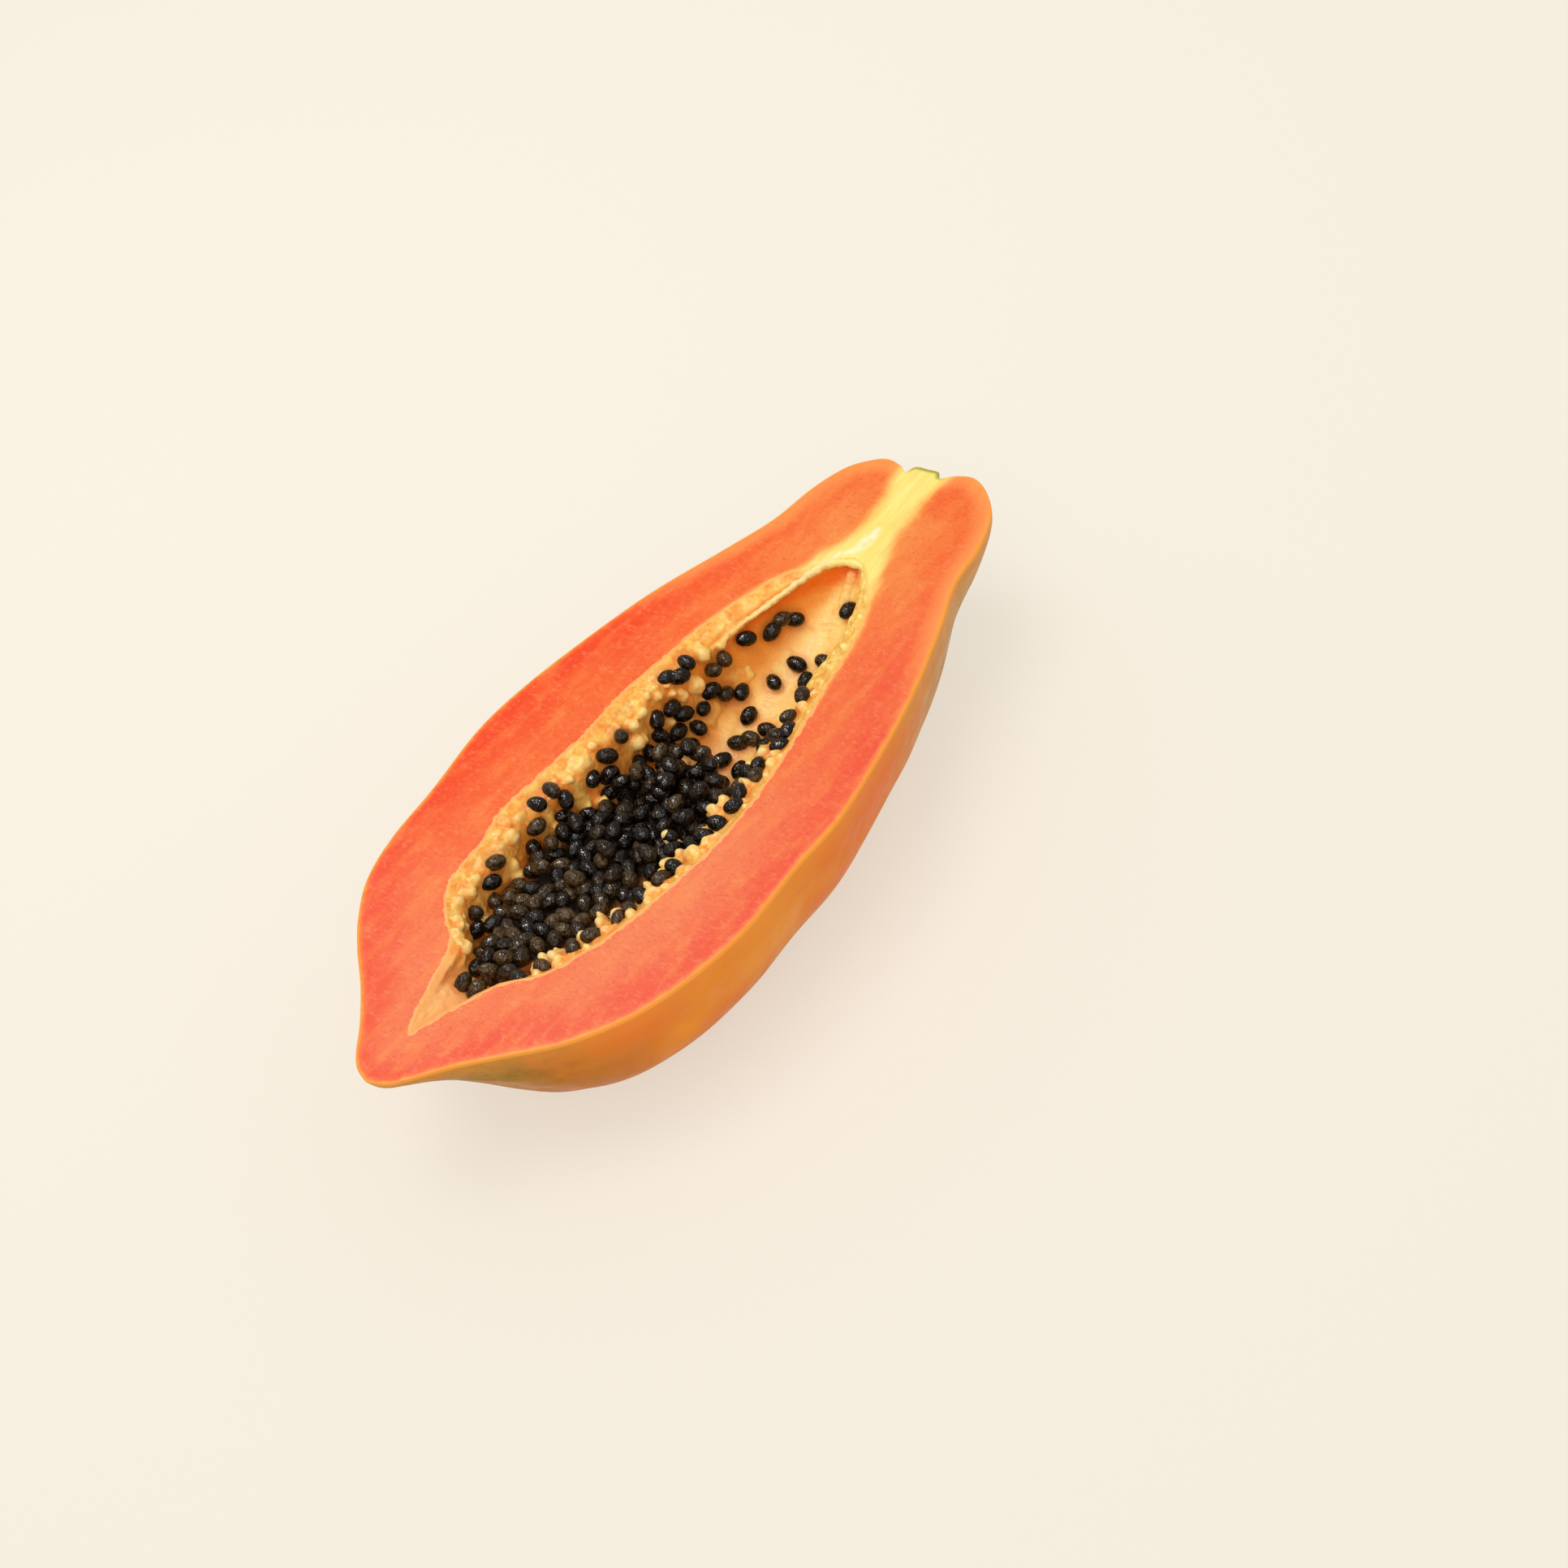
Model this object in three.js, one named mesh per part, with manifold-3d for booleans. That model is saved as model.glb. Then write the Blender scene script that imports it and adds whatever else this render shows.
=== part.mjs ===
// Half of a ripe papaya, cut lengthwise, lying on its belly with the cut face level and up.
//
// Frame: millimetres. +X runs along the fruit towards the stalk, +Y across the cut face,
// +Z up. The origin is under the middle of the fruit, on the surface that it rests on.
// The shapes are worked out in a frame of the cut face (z = 0 on the cut, hollow below it)
// and moved to the resting frame at the end.
import * as THREE from 'three';
import { mergeVertices } from 'three/addons/utils/BufferGeometryUtils.js';
import Module from 'manifold-3d';

const wasm = await Module();
wasm.setup();

// ---------------------------------------------------------------- driving dimensions, mm
const REST_DEPTH = 60.0; // cut face to the flat spot that the belly rests on
const SEED_LENGTH = 6.6;
const SEED_WIDTH = 4.7;
const SEED_SINK = 0.9; // how far a seed sits in the pulp that holds it
const GAP = 0.35; // clear space between the fruit and the loose heap of seeds
const RINGS_PER_STRETCH = 2; // rings between two stations of an outline
const SKIN_COLUMNS = 18; // strips round the belly, from rim to rim
const EDGE_STEPS = 8; // steps between two stations where the hollow's edge is looked up
const NORMAL_STEP = 0.5; // distance over which the slope of the lining is measured
const BEAD_DRAWS = 11; // where the draws start for the seeds and knobs that are fixed
const HEAP_DRAWS = 29; // and for the loose ones

// Stations of the cut rim from the blossom tip, over the stalk shoulders, to the stalk stub:
// x and y of the left edge, x and y of the right edge, section depth over half width.
const RIM = [
  [-133.2, 1.0, -133.2, 1.0, 0.86],
  [-130.9, 6.5, -131.0, -4.8, 0.72],
  [-126.5, 11.0, -127.0, -9.2, 0.65],
  [-118.0, 17.2, -118.0, -17.4, 0.72],
  [-107.8, 26.1, -107.8, -28.8, 0.86],
  [-98.0, 36.2, -98.0, -39.9, 0.96],
  [-88.5, 44.4, -88.0, -47.9, 1.03],
  [-76.0, 52.0, -76.0, -54.6, 1.02],
  [-60.0, 56.1, -60.4, -59.6, 1.01],
  [-40.0, 57.6, -40.0, -62.7, 1.01],
  [-15.0, 60.6, -15.0, -61.9, 1.0],
  [5.0, 59.3, 5.0, -62.2, 0.99],
  [30.0, 54.4, 30.0, -58.3, 1.0],
  [55.0, 47.8, 55.0, -52.6, 1.07],
  [80.0, 38.0, 80.0, -44.4, 1.12],
  [97.0, 31.8, 97.0, -37.8, 1.0],
  [113.0, 29.0, 113.0, -35.6, 0.8],
  [125.0, 24.8, 126.0, -30.9, 0.7],
  [131.5, 19.0, 134.0, -23.5, 0.76],
  [134.0, 14.0, 137.6, -16.3, 0.8],
  [133.0, 8.5, 136.0, -10.0, 0.85],
  [131.4, 5.6, 133.3, -6.3, 0.88],
  [134.4, 3.9, 135.3, -4.4, 0.9],
  [135.0, -0.5, 135.0, -0.5, 0.9],
];

// Stations of the hollow's edge on the cut, blossom end to stalk end: x, left y, right y.
const HOLLOW = [
  [-114.3, 1.0, 1.0],
  [-109.0, 3.7, -0.9],
  [-102.0, 6.1, -3.9],
  [-95.0, 8.2, -7.2],
  [-88.0, 10.1, -11.1],
  [-82.0, 13.1, -17.7],
  [-77.0, 18.8, -21.7],
  [-70.0, 25.6, -24.7],
  [-62.0, 28.5, -27.8],
  [-50.0, 28.8, -30.7],
  [-38.0, 31.6, -32.9],
  [-22.0, 30.1, -34.8],
  [-3.0, 28.3, -34.9],
  [15.0, 28.4, -32.5],
  [32.0, 25.9, -29.6],
  [48.0, 23.6, -26.3],
  [63.0, 19.4, -23.6],
  [75.0, 14.8, -19.9],
  [84.0, 8.9, -15.0],
  [90.0, 3.5, -9.8],
  [92.3, 0.4, -6.6],
  [93.3, -2.5, -2.5],
];

// Section of the hollow, from its left edge (1) to its right edge (-1): place across, and
// depth as a share of the half width. A ledge of pulp runs along both edges. Towards the
// blossom end the bowl closes to a smooth groove.
const BOWL = [
  [1, 0], [0.9, 0.06], [0.8, 0.13], [0.76, 0.34], [0.7, 0.6], [0.58, 0.82], [0.4, 0.95],
  [0.2, 1], [0, 1], [-0.2, 0.97], [-0.36, 0.86], [-0.47, 0.68], [-0.55, 0.45],
  [-0.6, 0.31], [-0.8, 0.15], [-1, 0],
];
const GROOVE = [[1, 0], [0.7, 0.23], [0.4, 0.47], [0.15, 0.68], [-0.1, 0.85], [-0.45, 0.51], [-1, 0]];
const GROOVE_END = -100; // x where the groove starts to open
const BOWL_START = -84; // x where the full bowl is reached

// Single seeds still fixed to the lining: x, y. Those of the stalk half lie far apart.
const LONE_SEEDS = [
  [82.7, -6.2], [72.9, 9.5], [69.8, 11.6], [65.2, 12.6], [66.8, -5.4], [63.3, 2.9],
  [59.1, -3.9], [57.1, 15.6], [55.0, 6.1], [47.7, 17.5], [46.5, 12.3], [42.5, -20.2],
  [42.6, 18.1], [42.3, 15.0], [41.9, 6.7], [40.1, -2.3], [38.7, 17.3], [37.0, 22.2],
  [35.6, 1.1], [34.6, -5.1], [33.9, -21.3], [33.6, 16.8], [32.7, 4.5], [31.8, 20.7],
  [29.4, 24.0], [28.5, 15.9], [28.2, -26.0], [27.0, 18.8], [26.3, -22.6], [25.3, 5.5],
  [24.9, -2.2], [24.7, 20.1], [23.5, 14.7], [23.1, 9.1], [22.5, 18.4], [21.8, -28.5],
  [18.7, 1.1], [18.4, 21.0], [18.2, 9.1], [17.5, 18.0], [16.6, 20.1], [14.1, -25.0],
  [12.5, 7.7], [11.9, 11.2], [11.8, 15.6], [11.0, -1.6], [10.8, 19.8], [10.3, -5.0],
  [7.8, 5.1], [6.2, -23.3], [5.9, 16.0], [5.5, 19.7], [4.6, 22.1], [3.9, 13.1],
  [3.8, 2.2], [0.8, 18.9], [-1.1, 16.5], [-2.9, 21.8], [-3.0, -29.4], [-4.7, 18.2],
  [-5.4, 20.9], [-7.9, 20.0], [-10.6, 21.9], [-15.3, 19.9], [-16.8, 18.6], [-19.2, -26.3],
  [-20.4, 20.4], [-21.5, 23.2], [-22.5, 27.0], [-24.6, 22.7], [-28.8, 27.4], [-31.9, 22.1],
  [-31.6, 20.2], [-33.9, 24.6], [-37.4, 22.7], [-38.3, 23.8], [-40.9, 18.9], [-46.4, 18.6],
  [-52.2, 24.0], [-52.6, -25.4], [-53.1, 20.7], [-54.6, 17.4], [-57.1, 22.5], [-59.3, 21.4],
  [-60.6, 18.8], [-68.4, 20.6], [-68.1, 16.7], [-72.0, 17.8], [-71.6, 12.3], [-76.8, -16.5],
  [-77.1, 12.5], [-76.7, 5.0], [-83.0, 7.7], [-82.3, 4.3], [-90.3, 0.2], [-90.9, 4.4],
];
const SEED_TILT = 0.4; // most that a fixed seed leans, radians
const SEED_ROOM = 0.8; // least distance of two fixed seeds, as a share of the seed width

// Single knobs of pulp on the ledges: x, y.
const LONE_KNOBS = [
  [70.8, 12.0], [53.8, 16.6], [49.3, 18.0], [42.7, -24.5], [42.3, 19.5], [37.9, -23.6],
  [34.0, -25.1], [35.9, 18.6], [30.2, 19.3], [27.2, 20.4], [25.6, 25.6], [22.8, 19.4],
  [20.6, -25.1], [15.1, 22.3], [11.0, 20.9], [-15.3, -28.4], [-16.7, 24.3], [-16.0, 21.1],
  [-28.1, 23.0], [-31.8, 26.1], [-31.9, -25.2], [-42.1, 25.6], [-42.2, -29.1], [-48.3, 21.4],
  [-55.6, 19.8], [-57.9, -26.4], [-62.8, -23.8], [-64.5, 22.7], [-64.7, 20.1], [-66.2, -21.6],
  [-72.7, -19.8], [-81.4, 10.7],
];

// Rows along the ledges: first x, last x, mean spacing, place across the hollow.
const SEED_ROWS = [
  { from: -84, to: 16, spacing: 6.4, across: -0.78 },
  { from: -76, to: 18, spacing: 7.2, across: -0.6 },
];
const KNOB_ROWS = [
  { from: -76, to: 24, spacing: 6.6, across: 0.87 },
  { from: -72, to: 20, spacing: 7.5, across: 0.75 },
  { from: -80, to: 60, spacing: 8.5, across: -0.88 },
];
const ROW_SPREAD = 0.1; // how far a bead may lie off its row, as a share of the half width
const ROW_UNEVEN = 0.6; // how much the spacing along a row varies
const KNOB_SIZE = 2.6; // mean half width of a knob of pulp
const KNOB_UNEVEN = 0.5;
const KNOB_STRETCH = 1.25; // length of a knob over its width
const KNOB_ROOM = 0.3; // clear width that a knob leaves its neighbour, as a share of the seed width

// The heap of loose seeds in the deep part of the hollow, on a bed of its own wet coats.
const HEAP = {
  from: -84, // x of its two ends
  to: 16,
  across: 0.09, // place across of its middle line, and how far it reaches from there
  reach: 0.56,
  share: 0.4, // depth of the bed as a share of the hollow's half width
  leastDepth: 8.5,
  slopeFrom: -28, // from this x to the stalk end, the bed slopes down by a further share
  slope: 0.42,
  lift: 1.6, // clear height between the bed and the lining
  leastThickness: 0.8,
  endMargin: 0.01, // how much of its length is cut off at each end, so that it ends blunt
  endPower: 3, // how square its two ends are, 2 being an ellipse
  rings: 14,
  columns: 6,
  seeds: 130,
  highest: -7.4, // no seed's middle lies higher than this
  choices: 5, // places drawn for each seed, which takes the lowest
  triesPerSeed: 40,
  touch: 0.92, // distance of two seeds that touch, as a share of the seed width
  tilt: 0.5,
  room: 0.4, // clear width to a fixed bead, as a share of the seed length
};

// ---------------------------------------------------------------- small tools

// Repeatable draws between 0 and 1, by the rule of Park and Miller.
const DRAW_FACTOR = 16807;
const DRAW_LIMIT = 2147483647;

function makeDraw(seed) {
  let state = seed;
  return () => {
    state = (state * DRAW_FACTOR) % DRAW_LIMIT;
    return state / DRAW_LIMIT;
  };
}

// A smooth curve through rows of numbers, sampled evenly between the rows.
function smoothRows(rows, steps) {
  const last = rows.length - 1;
  const result = [];
  for (let k = 0; k <= last * steps; k += 1) {
    const i = Math.min(Math.floor(k / steps), last - 1);
    const t = k / steps - i;
    const a = rows[Math.max(i - 1, 0)];
    const d = rows[Math.min(i + 2, last)];
    result.push(rows[i].map((b, n) => {
      const c = rows[i + 1][n];
      const v0 = (c - a[n]) / 2;
      const v1 = (d[n] - b) / 2;
      return (2 * b - 2 * c + v0 + v1) * t ** 3 + (3 * c - 3 * b - 2 * v0 - v1) * t ** 2 + v0 * t + b;
    }));
  }
  return result;
}

// The value at x of a list of [x, value, ...] rows, straight between the rows.
function between(rows, x, column = 1) {
  const rising = rows[0][0] < rows[rows.length - 1][0];
  const i = rows.findIndex(row => (rising ? row[0] >= x : row[0] <= x));
  if (i < 0) {
    return rows[rows.length - 1][column];
  }
  if (i === 0) {
    return rows[0][column];
  }
  const t = (x - rows[i - 1][0]) / (rows[i][0] - rows[i - 1][0]);
  return THREE.MathUtils.lerp(rows[i - 1][column], rows[i][column], t);
}

function solidOf(vertices, triangles) {
  const mesh = new wasm.Mesh({
    numProp: 3,
    vertProperties: new Float32Array(vertices.flatMap(v => [v.x, v.y, v.z])),
    triVerts: new Uint32Array(triangles.flat()),
  });
  return new wasm.Manifold(mesh);
}

function geometryOf(solid) {
  const mesh = solid.getMesh();
  const geometry = new THREE.BufferGeometry();
  geometry.setAttribute('position', new THREE.BufferAttribute(mesh.vertProperties, 3));
  geometry.setIndex(new THREE.BufferAttribute(mesh.triVerts, 1));
  geometry.computeVertexNormals();
  return geometry;
}

function biggestPiece(solid) {
  return solid.decompose().sort((a, b) => b.volume() - a.volume())[0];
}

// A closed twenty-sided bead: half sizes, place, turn about the upright and tilt.
function bead({ half, at, turn, tilt }) {
  const ball = new THREE.IcosahedronGeometry(1, 0);
  ball.deleteAttribute('normal');
  ball.deleteAttribute('uv');
  const round = mergeVertices(ball);
  const rotation = new THREE.Quaternion().setFromEuler(new THREE.Euler(0, tilt, turn, 'ZYX'));
  round.applyMatrix4(new THREE.Matrix4().compose(at, rotation, half));
  const place = round.getAttribute('position');
  const vertices = [];
  for (let i = 0; i < place.count; i += 1) {
    vertices.push(new THREE.Vector3().fromBufferAttribute(place, i));
  }
  const corners = Array.from(round.getIndex().array);
  const triangles = [];
  for (let i = 0; i < corners.length; i += 3) {
    triangles.push(corners.slice(i, i + 3));
  }
  return solidOf(vertices, triangles);
}

// ---------------------------------------------------------------- the hollow as a formula

const hollowEdge = smoothRows(HOLLOW, EDGE_STEPS);

function hollowAt(x) {
  const left = between(hollowEdge, x, 1);
  const right = between(hollowEdge, x, 2);
  return { middle: (left + right) / 2, half: (left - right) / 2 };
}

// A point of the lining: x along the fruit, across from -1 (right edge) to 1 (left edge).
function lining(x, across) {
  const { middle, half } = hollowAt(x);
  const bowl = THREE.MathUtils.smoothstep(x, GROOVE_END, BOWL_START);
  const depth = THREE.MathUtils.lerp(between(GROOVE, across), between(BOWL, across), bowl);
  return new THREE.Vector3(x, middle + half * across, -half * depth);
}

function liningBelow(x, y) {
  const { middle, half } = hollowAt(x);
  return lining(x, (y - middle) / half);
}

// The lining's direction into the hollow at a place.
function liningNormal(x, y) {
  const alongX = liningBelow(x + NORMAL_STEP, y).sub(liningBelow(x - NORMAL_STEP, y));
  const alongY = liningBelow(x, y + NORMAL_STEP).sub(liningBelow(x, y - NORMAL_STEP));
  return alongX.cross(alongY).normalize();
}

// ---------------------------------------------------------------- the half fruit

function fruitBody() {
  const vertices = [];
  const triangles = [];
  const put = point => vertices.push(point) - 1;

  // Joins rings of corners; a ring of one corner closes the end to a point.
  const skin = (rings, outward) => {
    const face = (a, b, c) => {
      if (a !== b && b !== c && c !== a) {
        triangles.push(outward ? [a, b, c] : [a, c, b]);
      }
    };
    const at = (ring, j) => ring[Math.min(j, ring.length - 1)];
    for (let i = 0; i + 1 < rings.length; i += 1) {
      const columns = Math.max(rings[i].length, rings[i + 1].length) - 1;
      for (let j = 0; j < columns; j += 1) {
        face(at(rings[i], j), at(rings[i + 1], j), at(rings[i + 1], j + 1));
        face(at(rings[i], j), at(rings[i + 1], j + 1), at(rings[i], j + 1));
      }
    }
  };

  // Belly: half rounds between the left and the right edge, cut flat where it rests.
  const outer = smoothRows(RIM, RINGS_PER_STRETCH).map(([leftX, leftY, rightX, rightY, deep], i, all) => {
    const left = new THREE.Vector3(leftX, leftY, 0);
    const right = new THREE.Vector3(rightX, rightY, 0);
    if (i === 0 || i === all.length - 1) {
      return [put(left)];
    }
    const middle = left.clone().add(right).divideScalar(2);
    const arm = left.clone().sub(right).divideScalar(2);
    const ring = [];
    for (let j = 0; j <= SKIN_COLUMNS; j += 1) {
      const angle = (Math.PI * j) / SKIN_COLUMNS;
      const point = middle.clone().addScaledVector(arm, Math.cos(angle));
      point.z = -Math.min(deep * arm.length() * Math.sin(angle), REST_DEPTH);
      ring.push(put(point));
    }
    return ring;
  });
  skin(outer, true);

  // Lining of the hollow.
  const inner = smoothRows(HOLLOW, RINGS_PER_STRETCH).map(([x], i, all) => {
    if (i === 0 || i === all.length - 1) {
      return [put(new THREE.Vector3(x, HOLLOW[i === 0 ? 0 : HOLLOW.length - 1][1], 0))];
    }
    return BOWL.map(([across]) => put(lining(x, across)));
  });
  skin(inner, false);

  // Cut face between the two edges.
  const loop = rings => {
    const rightSide = rings.map(ring => ring[ring.length - 1]);
    const leftSide = rings.slice(1, -1).map(ring => ring[0]);
    return [...rightSide, ...leftSide.reverse()];
  };
  const rim = loop(outer);
  const edge = loop(inner).reverse();
  const flat = corners => corners.map(n => new THREE.Vector2(vertices[n].x, vertices[n].y));
  const corners = [...rim, ...edge];
  for (const [a, b, c] of THREE.ShapeUtils.triangulateShape(flat(rim), [flat(edge)])) {
    triangles.push([corners[a], corners[b], corners[c]]);
  }
  return solidOf(vertices, triangles);
}

const seedHalf = new THREE.Vector3(SEED_LENGTH, SEED_WIDTH, SEED_WIDTH).divideScalar(2);

// Places along a row on a ledge, unevenly spaced.
function rowPlaces(row, draw) {
  const places = [];
  for (let x = row.from; x < row.to; x += row.spacing * (1 + ROW_UNEVEN * (draw() - 0.5))) {
    const { middle, half } = hollowAt(x);
    places.push([x, middle + half * (row.across + ROW_SPREAD * (draw() - 0.5))]);
  }
  return places;
}

// Seeds fixed to the lining, and knobs of pulp along its ledges, all below the cut.
function fixedBeads() {
  const draw = makeDraw(BEAD_DRAWS);
  const beads = [];
  const add = (shape, room) => {
    if (beads.every(other => other.at.distanceTo(shape.at) > room)) {
      beads.push(shape);
    }
  };
  for (const [x, y] of [...LONE_SEEDS, ...SEED_ROWS.flatMap(row => rowPlaces(row, draw))]) {
    const at = liningBelow(x, y).addScaledVector(liningNormal(x, y), SEED_WIDTH / 2 - SEED_SINK);
    at.z = Math.min(at.z, -SEED_LENGTH / 2);
    const turn = draw() * Math.PI;
    const tilt = SEED_TILT * (2 * draw() - 1);
    add({ half: seedHalf, at, turn, tilt }, SEED_WIDTH * SEED_ROOM);
  }
  for (const [x, y] of [...LONE_KNOBS, ...KNOB_ROWS.flatMap(row => rowPlaces(row, draw))]) {
    const size = KNOB_SIZE * (1 + KNOB_UNEVEN * (draw() - 0.5));
    const at = liningBelow(x, y);
    at.z = Math.min(at.z, -size - GAP);
    const half = new THREE.Vector3(size * KNOB_STRETCH, size, size);
    add({ half, at, turn: draw() * Math.PI, tilt: 0 }, size + SEED_WIDTH * KNOB_ROOM);
  }
  return beads;
}

// ---------------------------------------------------------------- the heap of seeds

// A place of the heap: along from 0 to 1, side from -1 (right) to 1 (left); round at both ends.
function heapPlace(along, side) {
  const x = THREE.MathUtils.lerp(HEAP.from, HEAP.to, along);
  const width = Math.sqrt(1 - Math.abs(2 * along - 1) ** HEAP.endPower);
  const floor = lining(x, HEAP.across + side * HEAP.reach * width);
  const share = HEAP.share + HEAP.slope * THREE.MathUtils.smoothstep(x, HEAP.slopeFrom, HEAP.to);
  const level = -Math.max(share * hollowAt(x).half, HEAP.leastDepth);
  return { floor, bed: Math.max(level, floor.z + HEAP.lift + HEAP.leastThickness) };
}

function heapBed() {
  const vertices = [];
  const triangles = [];
  const top = [];
  const bottom = [];
  for (let i = 0; i <= HEAP.rings; i += 1) {
    for (let j = 0; j <= HEAP.columns; j += 1) {
      const along = THREE.MathUtils.clamp(i / HEAP.rings, HEAP.endMargin, 1 - HEAP.endMargin);
      const { floor, bed } = heapPlace(along, 1 - (2 * j) / HEAP.columns);
      bottom.push(vertices.push(floor.clone().setZ(floor.z + HEAP.lift)) - 1);
      top.push(vertices.push(floor.clone().setZ(bed)) - 1);
    }
  }
  const width = HEAP.columns + 1;
  const quad = (a, b, c, d) => triangles.push([a, b, c], [a, c, d]);
  for (let i = 0; i < HEAP.rings; i += 1) {
    for (let j = 0; j < HEAP.columns; j += 1) {
      const n = i * width + j;
      quad(top[n], top[n + 1], top[n + width + 1], top[n + width]);
      quad(bottom[n], bottom[n + width], bottom[n + width + 1], bottom[n + 1]);
    }
    const left = i * width;
    const right = left + HEAP.columns;
    quad(top[left], top[left + width], bottom[left + width], bottom[left]);
    quad(top[right], bottom[right], bottom[right + width], top[right + width]);
  }
  for (let j = 0; j < HEAP.columns; j += 1) {
    const far = HEAP.rings * width + j;
    quad(top[j], bottom[j], bottom[j + 1], top[j + 1]);
    quad(top[far], top[far + 1], bottom[far + 1], bottom[far]);
  }
  return solidOf(vertices, triangles);
}

// Seeds fall one by one on the bed, each to the lowest of a few drawn places.
function heapSeeds(fixed) {
  const draw = makeDraw(HEAP_DRAWS);
  const touch = SEED_WIDTH * HEAP.touch;
  const placed = [];
  const clearOfLining = at => [[1, 0], [-1, 0], [0, 1], [0, -1]].every(([x, y]) => {
    const reach = SEED_LENGTH / 2 + GAP;
    return liningBelow(at.x + x * reach, at.y + y * reach).z < at.z - SEED_WIDTH * KNOB_ROOM;
  });
  for (let tries = 0; placed.length < HEAP.seeds && tries < HEAP.triesPerSeed * HEAP.seeds; tries += 1) {
    let best = null;
    for (let k = 0; k < HEAP.choices; k += 1) {
      const { floor, bed } = heapPlace(draw(), 2 * draw() - 1);
      const at = floor.setZ(bed + SEED_WIDTH / 2 - SEED_SINK);
      for (const seed of placed) {
        const reach = touch ** 2 - (seed.at.x - at.x) ** 2 - (seed.at.y - at.y) ** 2;
        if (reach > 0) {
          at.z = Math.max(at.z, seed.at.z + Math.sqrt(reach));
        }
      }
      if (best === null || at.z < best.z) {
        best = at;
      }
    }
    const turn = draw() * Math.PI;
    const tilt = HEAP.tilt * (2 * draw() - 1);
    const free = fixed.every(other => other.at.distanceTo(best) > other.half.y + SEED_LENGTH * HEAP.room);
    if (free && best.z < HEAP.highest && clearOfLining(best)) {
      placed.push({ half: seedHalf, at: best, turn, tilt });
    }
  }
  return placed;
}

// ---------------------------------------------------------------- assembly

const fixed = fixedBeads();
const fruit = biggestPiece(wasm.Manifold.union([fruitBody(), ...fixed.map(bead)]));
const loose = heapSeeds(fixed).map(bead);
const room = fixed.map(shape => bead({ ...shape, half: shape.half.clone().addScalar(GAP) }));
const heap = biggestPiece(wasm.Manifold.union([heapBed(), ...loose]).subtract(wasm.Manifold.union(room)));

const flesh = new THREE.Mesh(
  geometryOf(fruit),
  new THREE.MeshStandardMaterial({ color: 0xf0693a, roughness: 0.45, metalness: 0, flatShading: true }),
);
flesh.name = 'papaya_half';

const seeds = new THREE.Mesh(
  geometryOf(heap),
  new THREE.MeshStandardMaterial({ color: 0x17130f, roughness: 0.3, metalness: 0, flatShading: true }),
);
seeds.name = 'seed_heap';

// Resting frame: the origin is under the middle of the fruit's box.
const box = new THREE.Box3().setFromObject(flesh);
const papaya = new THREE.Group();
papaya.add(flesh, seeds);
papaya.position.set(-(box.min.x + box.max.x) / 2, -(box.min.y + box.max.y) / 2, REST_DEPTH);

export default papaya;
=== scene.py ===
import math

import bmesh
import bpy
import numpy as np
from mathutils import Matrix, Vector, noise
from mathutils.geometry import delaunay_2d_cdt


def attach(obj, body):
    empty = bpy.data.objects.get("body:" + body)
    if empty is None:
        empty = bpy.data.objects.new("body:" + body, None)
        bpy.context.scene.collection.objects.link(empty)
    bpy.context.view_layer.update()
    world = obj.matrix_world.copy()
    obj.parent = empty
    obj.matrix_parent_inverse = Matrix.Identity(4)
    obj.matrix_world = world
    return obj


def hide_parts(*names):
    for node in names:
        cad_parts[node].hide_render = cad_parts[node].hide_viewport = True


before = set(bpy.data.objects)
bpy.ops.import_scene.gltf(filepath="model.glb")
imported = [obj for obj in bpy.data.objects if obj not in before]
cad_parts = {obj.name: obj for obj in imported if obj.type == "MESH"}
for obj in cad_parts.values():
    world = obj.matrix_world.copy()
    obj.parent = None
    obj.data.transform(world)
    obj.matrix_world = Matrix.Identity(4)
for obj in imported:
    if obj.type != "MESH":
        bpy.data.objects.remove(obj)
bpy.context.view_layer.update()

# ---------------------------------------------------------------- the studio
# A plain pale table top that glows a little, so that shadows stay faint, under two wide soft lights,
# a small window light that fills the hollow and a glint light seen only in wet highlights. The
# camera looks down on the cut from the near right of the blossom end, rolled to stand the fruit up.

BACKGROUND = (0.894, 0.833, 0.724)
CAMERA_PLACE = (-0.458136, -0.592838, 0.783217)
CAMERA_RIGHT = (0.58896712, -0.77805654, -0.21850801)
CAMERA_UP = (0.66864034, 0.31727882, 0.67249851)
CAMERA_BACK = (-0.4539139, -0.54218279, 0.70710678)
LENS, SENSOR_WIDTH = 81.99, 36.0  # millimetres
TABLE_GLOW = 0.62  # share of the table's brightness that comes from below, as on a light table
TABLE_HALF = 6.0  # half the table's side, metres

scene = bpy.context.scene


def put(name, data):
    """A new object in the scene."""
    made = bpy.data.objects.new(name, data)
    scene.collection.objects.link(made)
    return made


view = put("view", bpy.data.cameras.new("view"))
view.data.sensor_width = SENSOR_WIDTH
view.data.lens = LENS
view.data.clip_start = 0.01
view.data.clip_end = 50.0
camera_axes = Matrix((CAMERA_RIGHT, CAMERA_UP, CAMERA_BACK)).transposed()
view.matrix_world = Matrix.Translation(CAMERA_PLACE) @ camera_axes.to_4x4()
scene.camera = view
scene.view_settings.view_transform = "Standard"
scene.view_settings.look = "None"


def feed(tree, entry, value):
    """Gives an input a plain value or links it to another node's output. None leaves it."""
    if isinstance(value, bpy.types.NodeSocket):
        tree.links.new(value, entry)
    elif value is not None:
        entry.default_value = value


def set_node(tree, node, **values):
    """Settings and inputs of a node by their names, with an underscore for a space."""
    for name, value in values.items():
        entry = node.inputs.get(name.replace("_", " "))
        if entry is None:
            setattr(node, name, value)
        else:
            feed(tree, entry, value)
    return node


def add_node(tree, kind, **values):
    """A new node with its settings and inputs."""
    return set_node(tree, tree.nodes.new(kind), **values)


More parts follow.
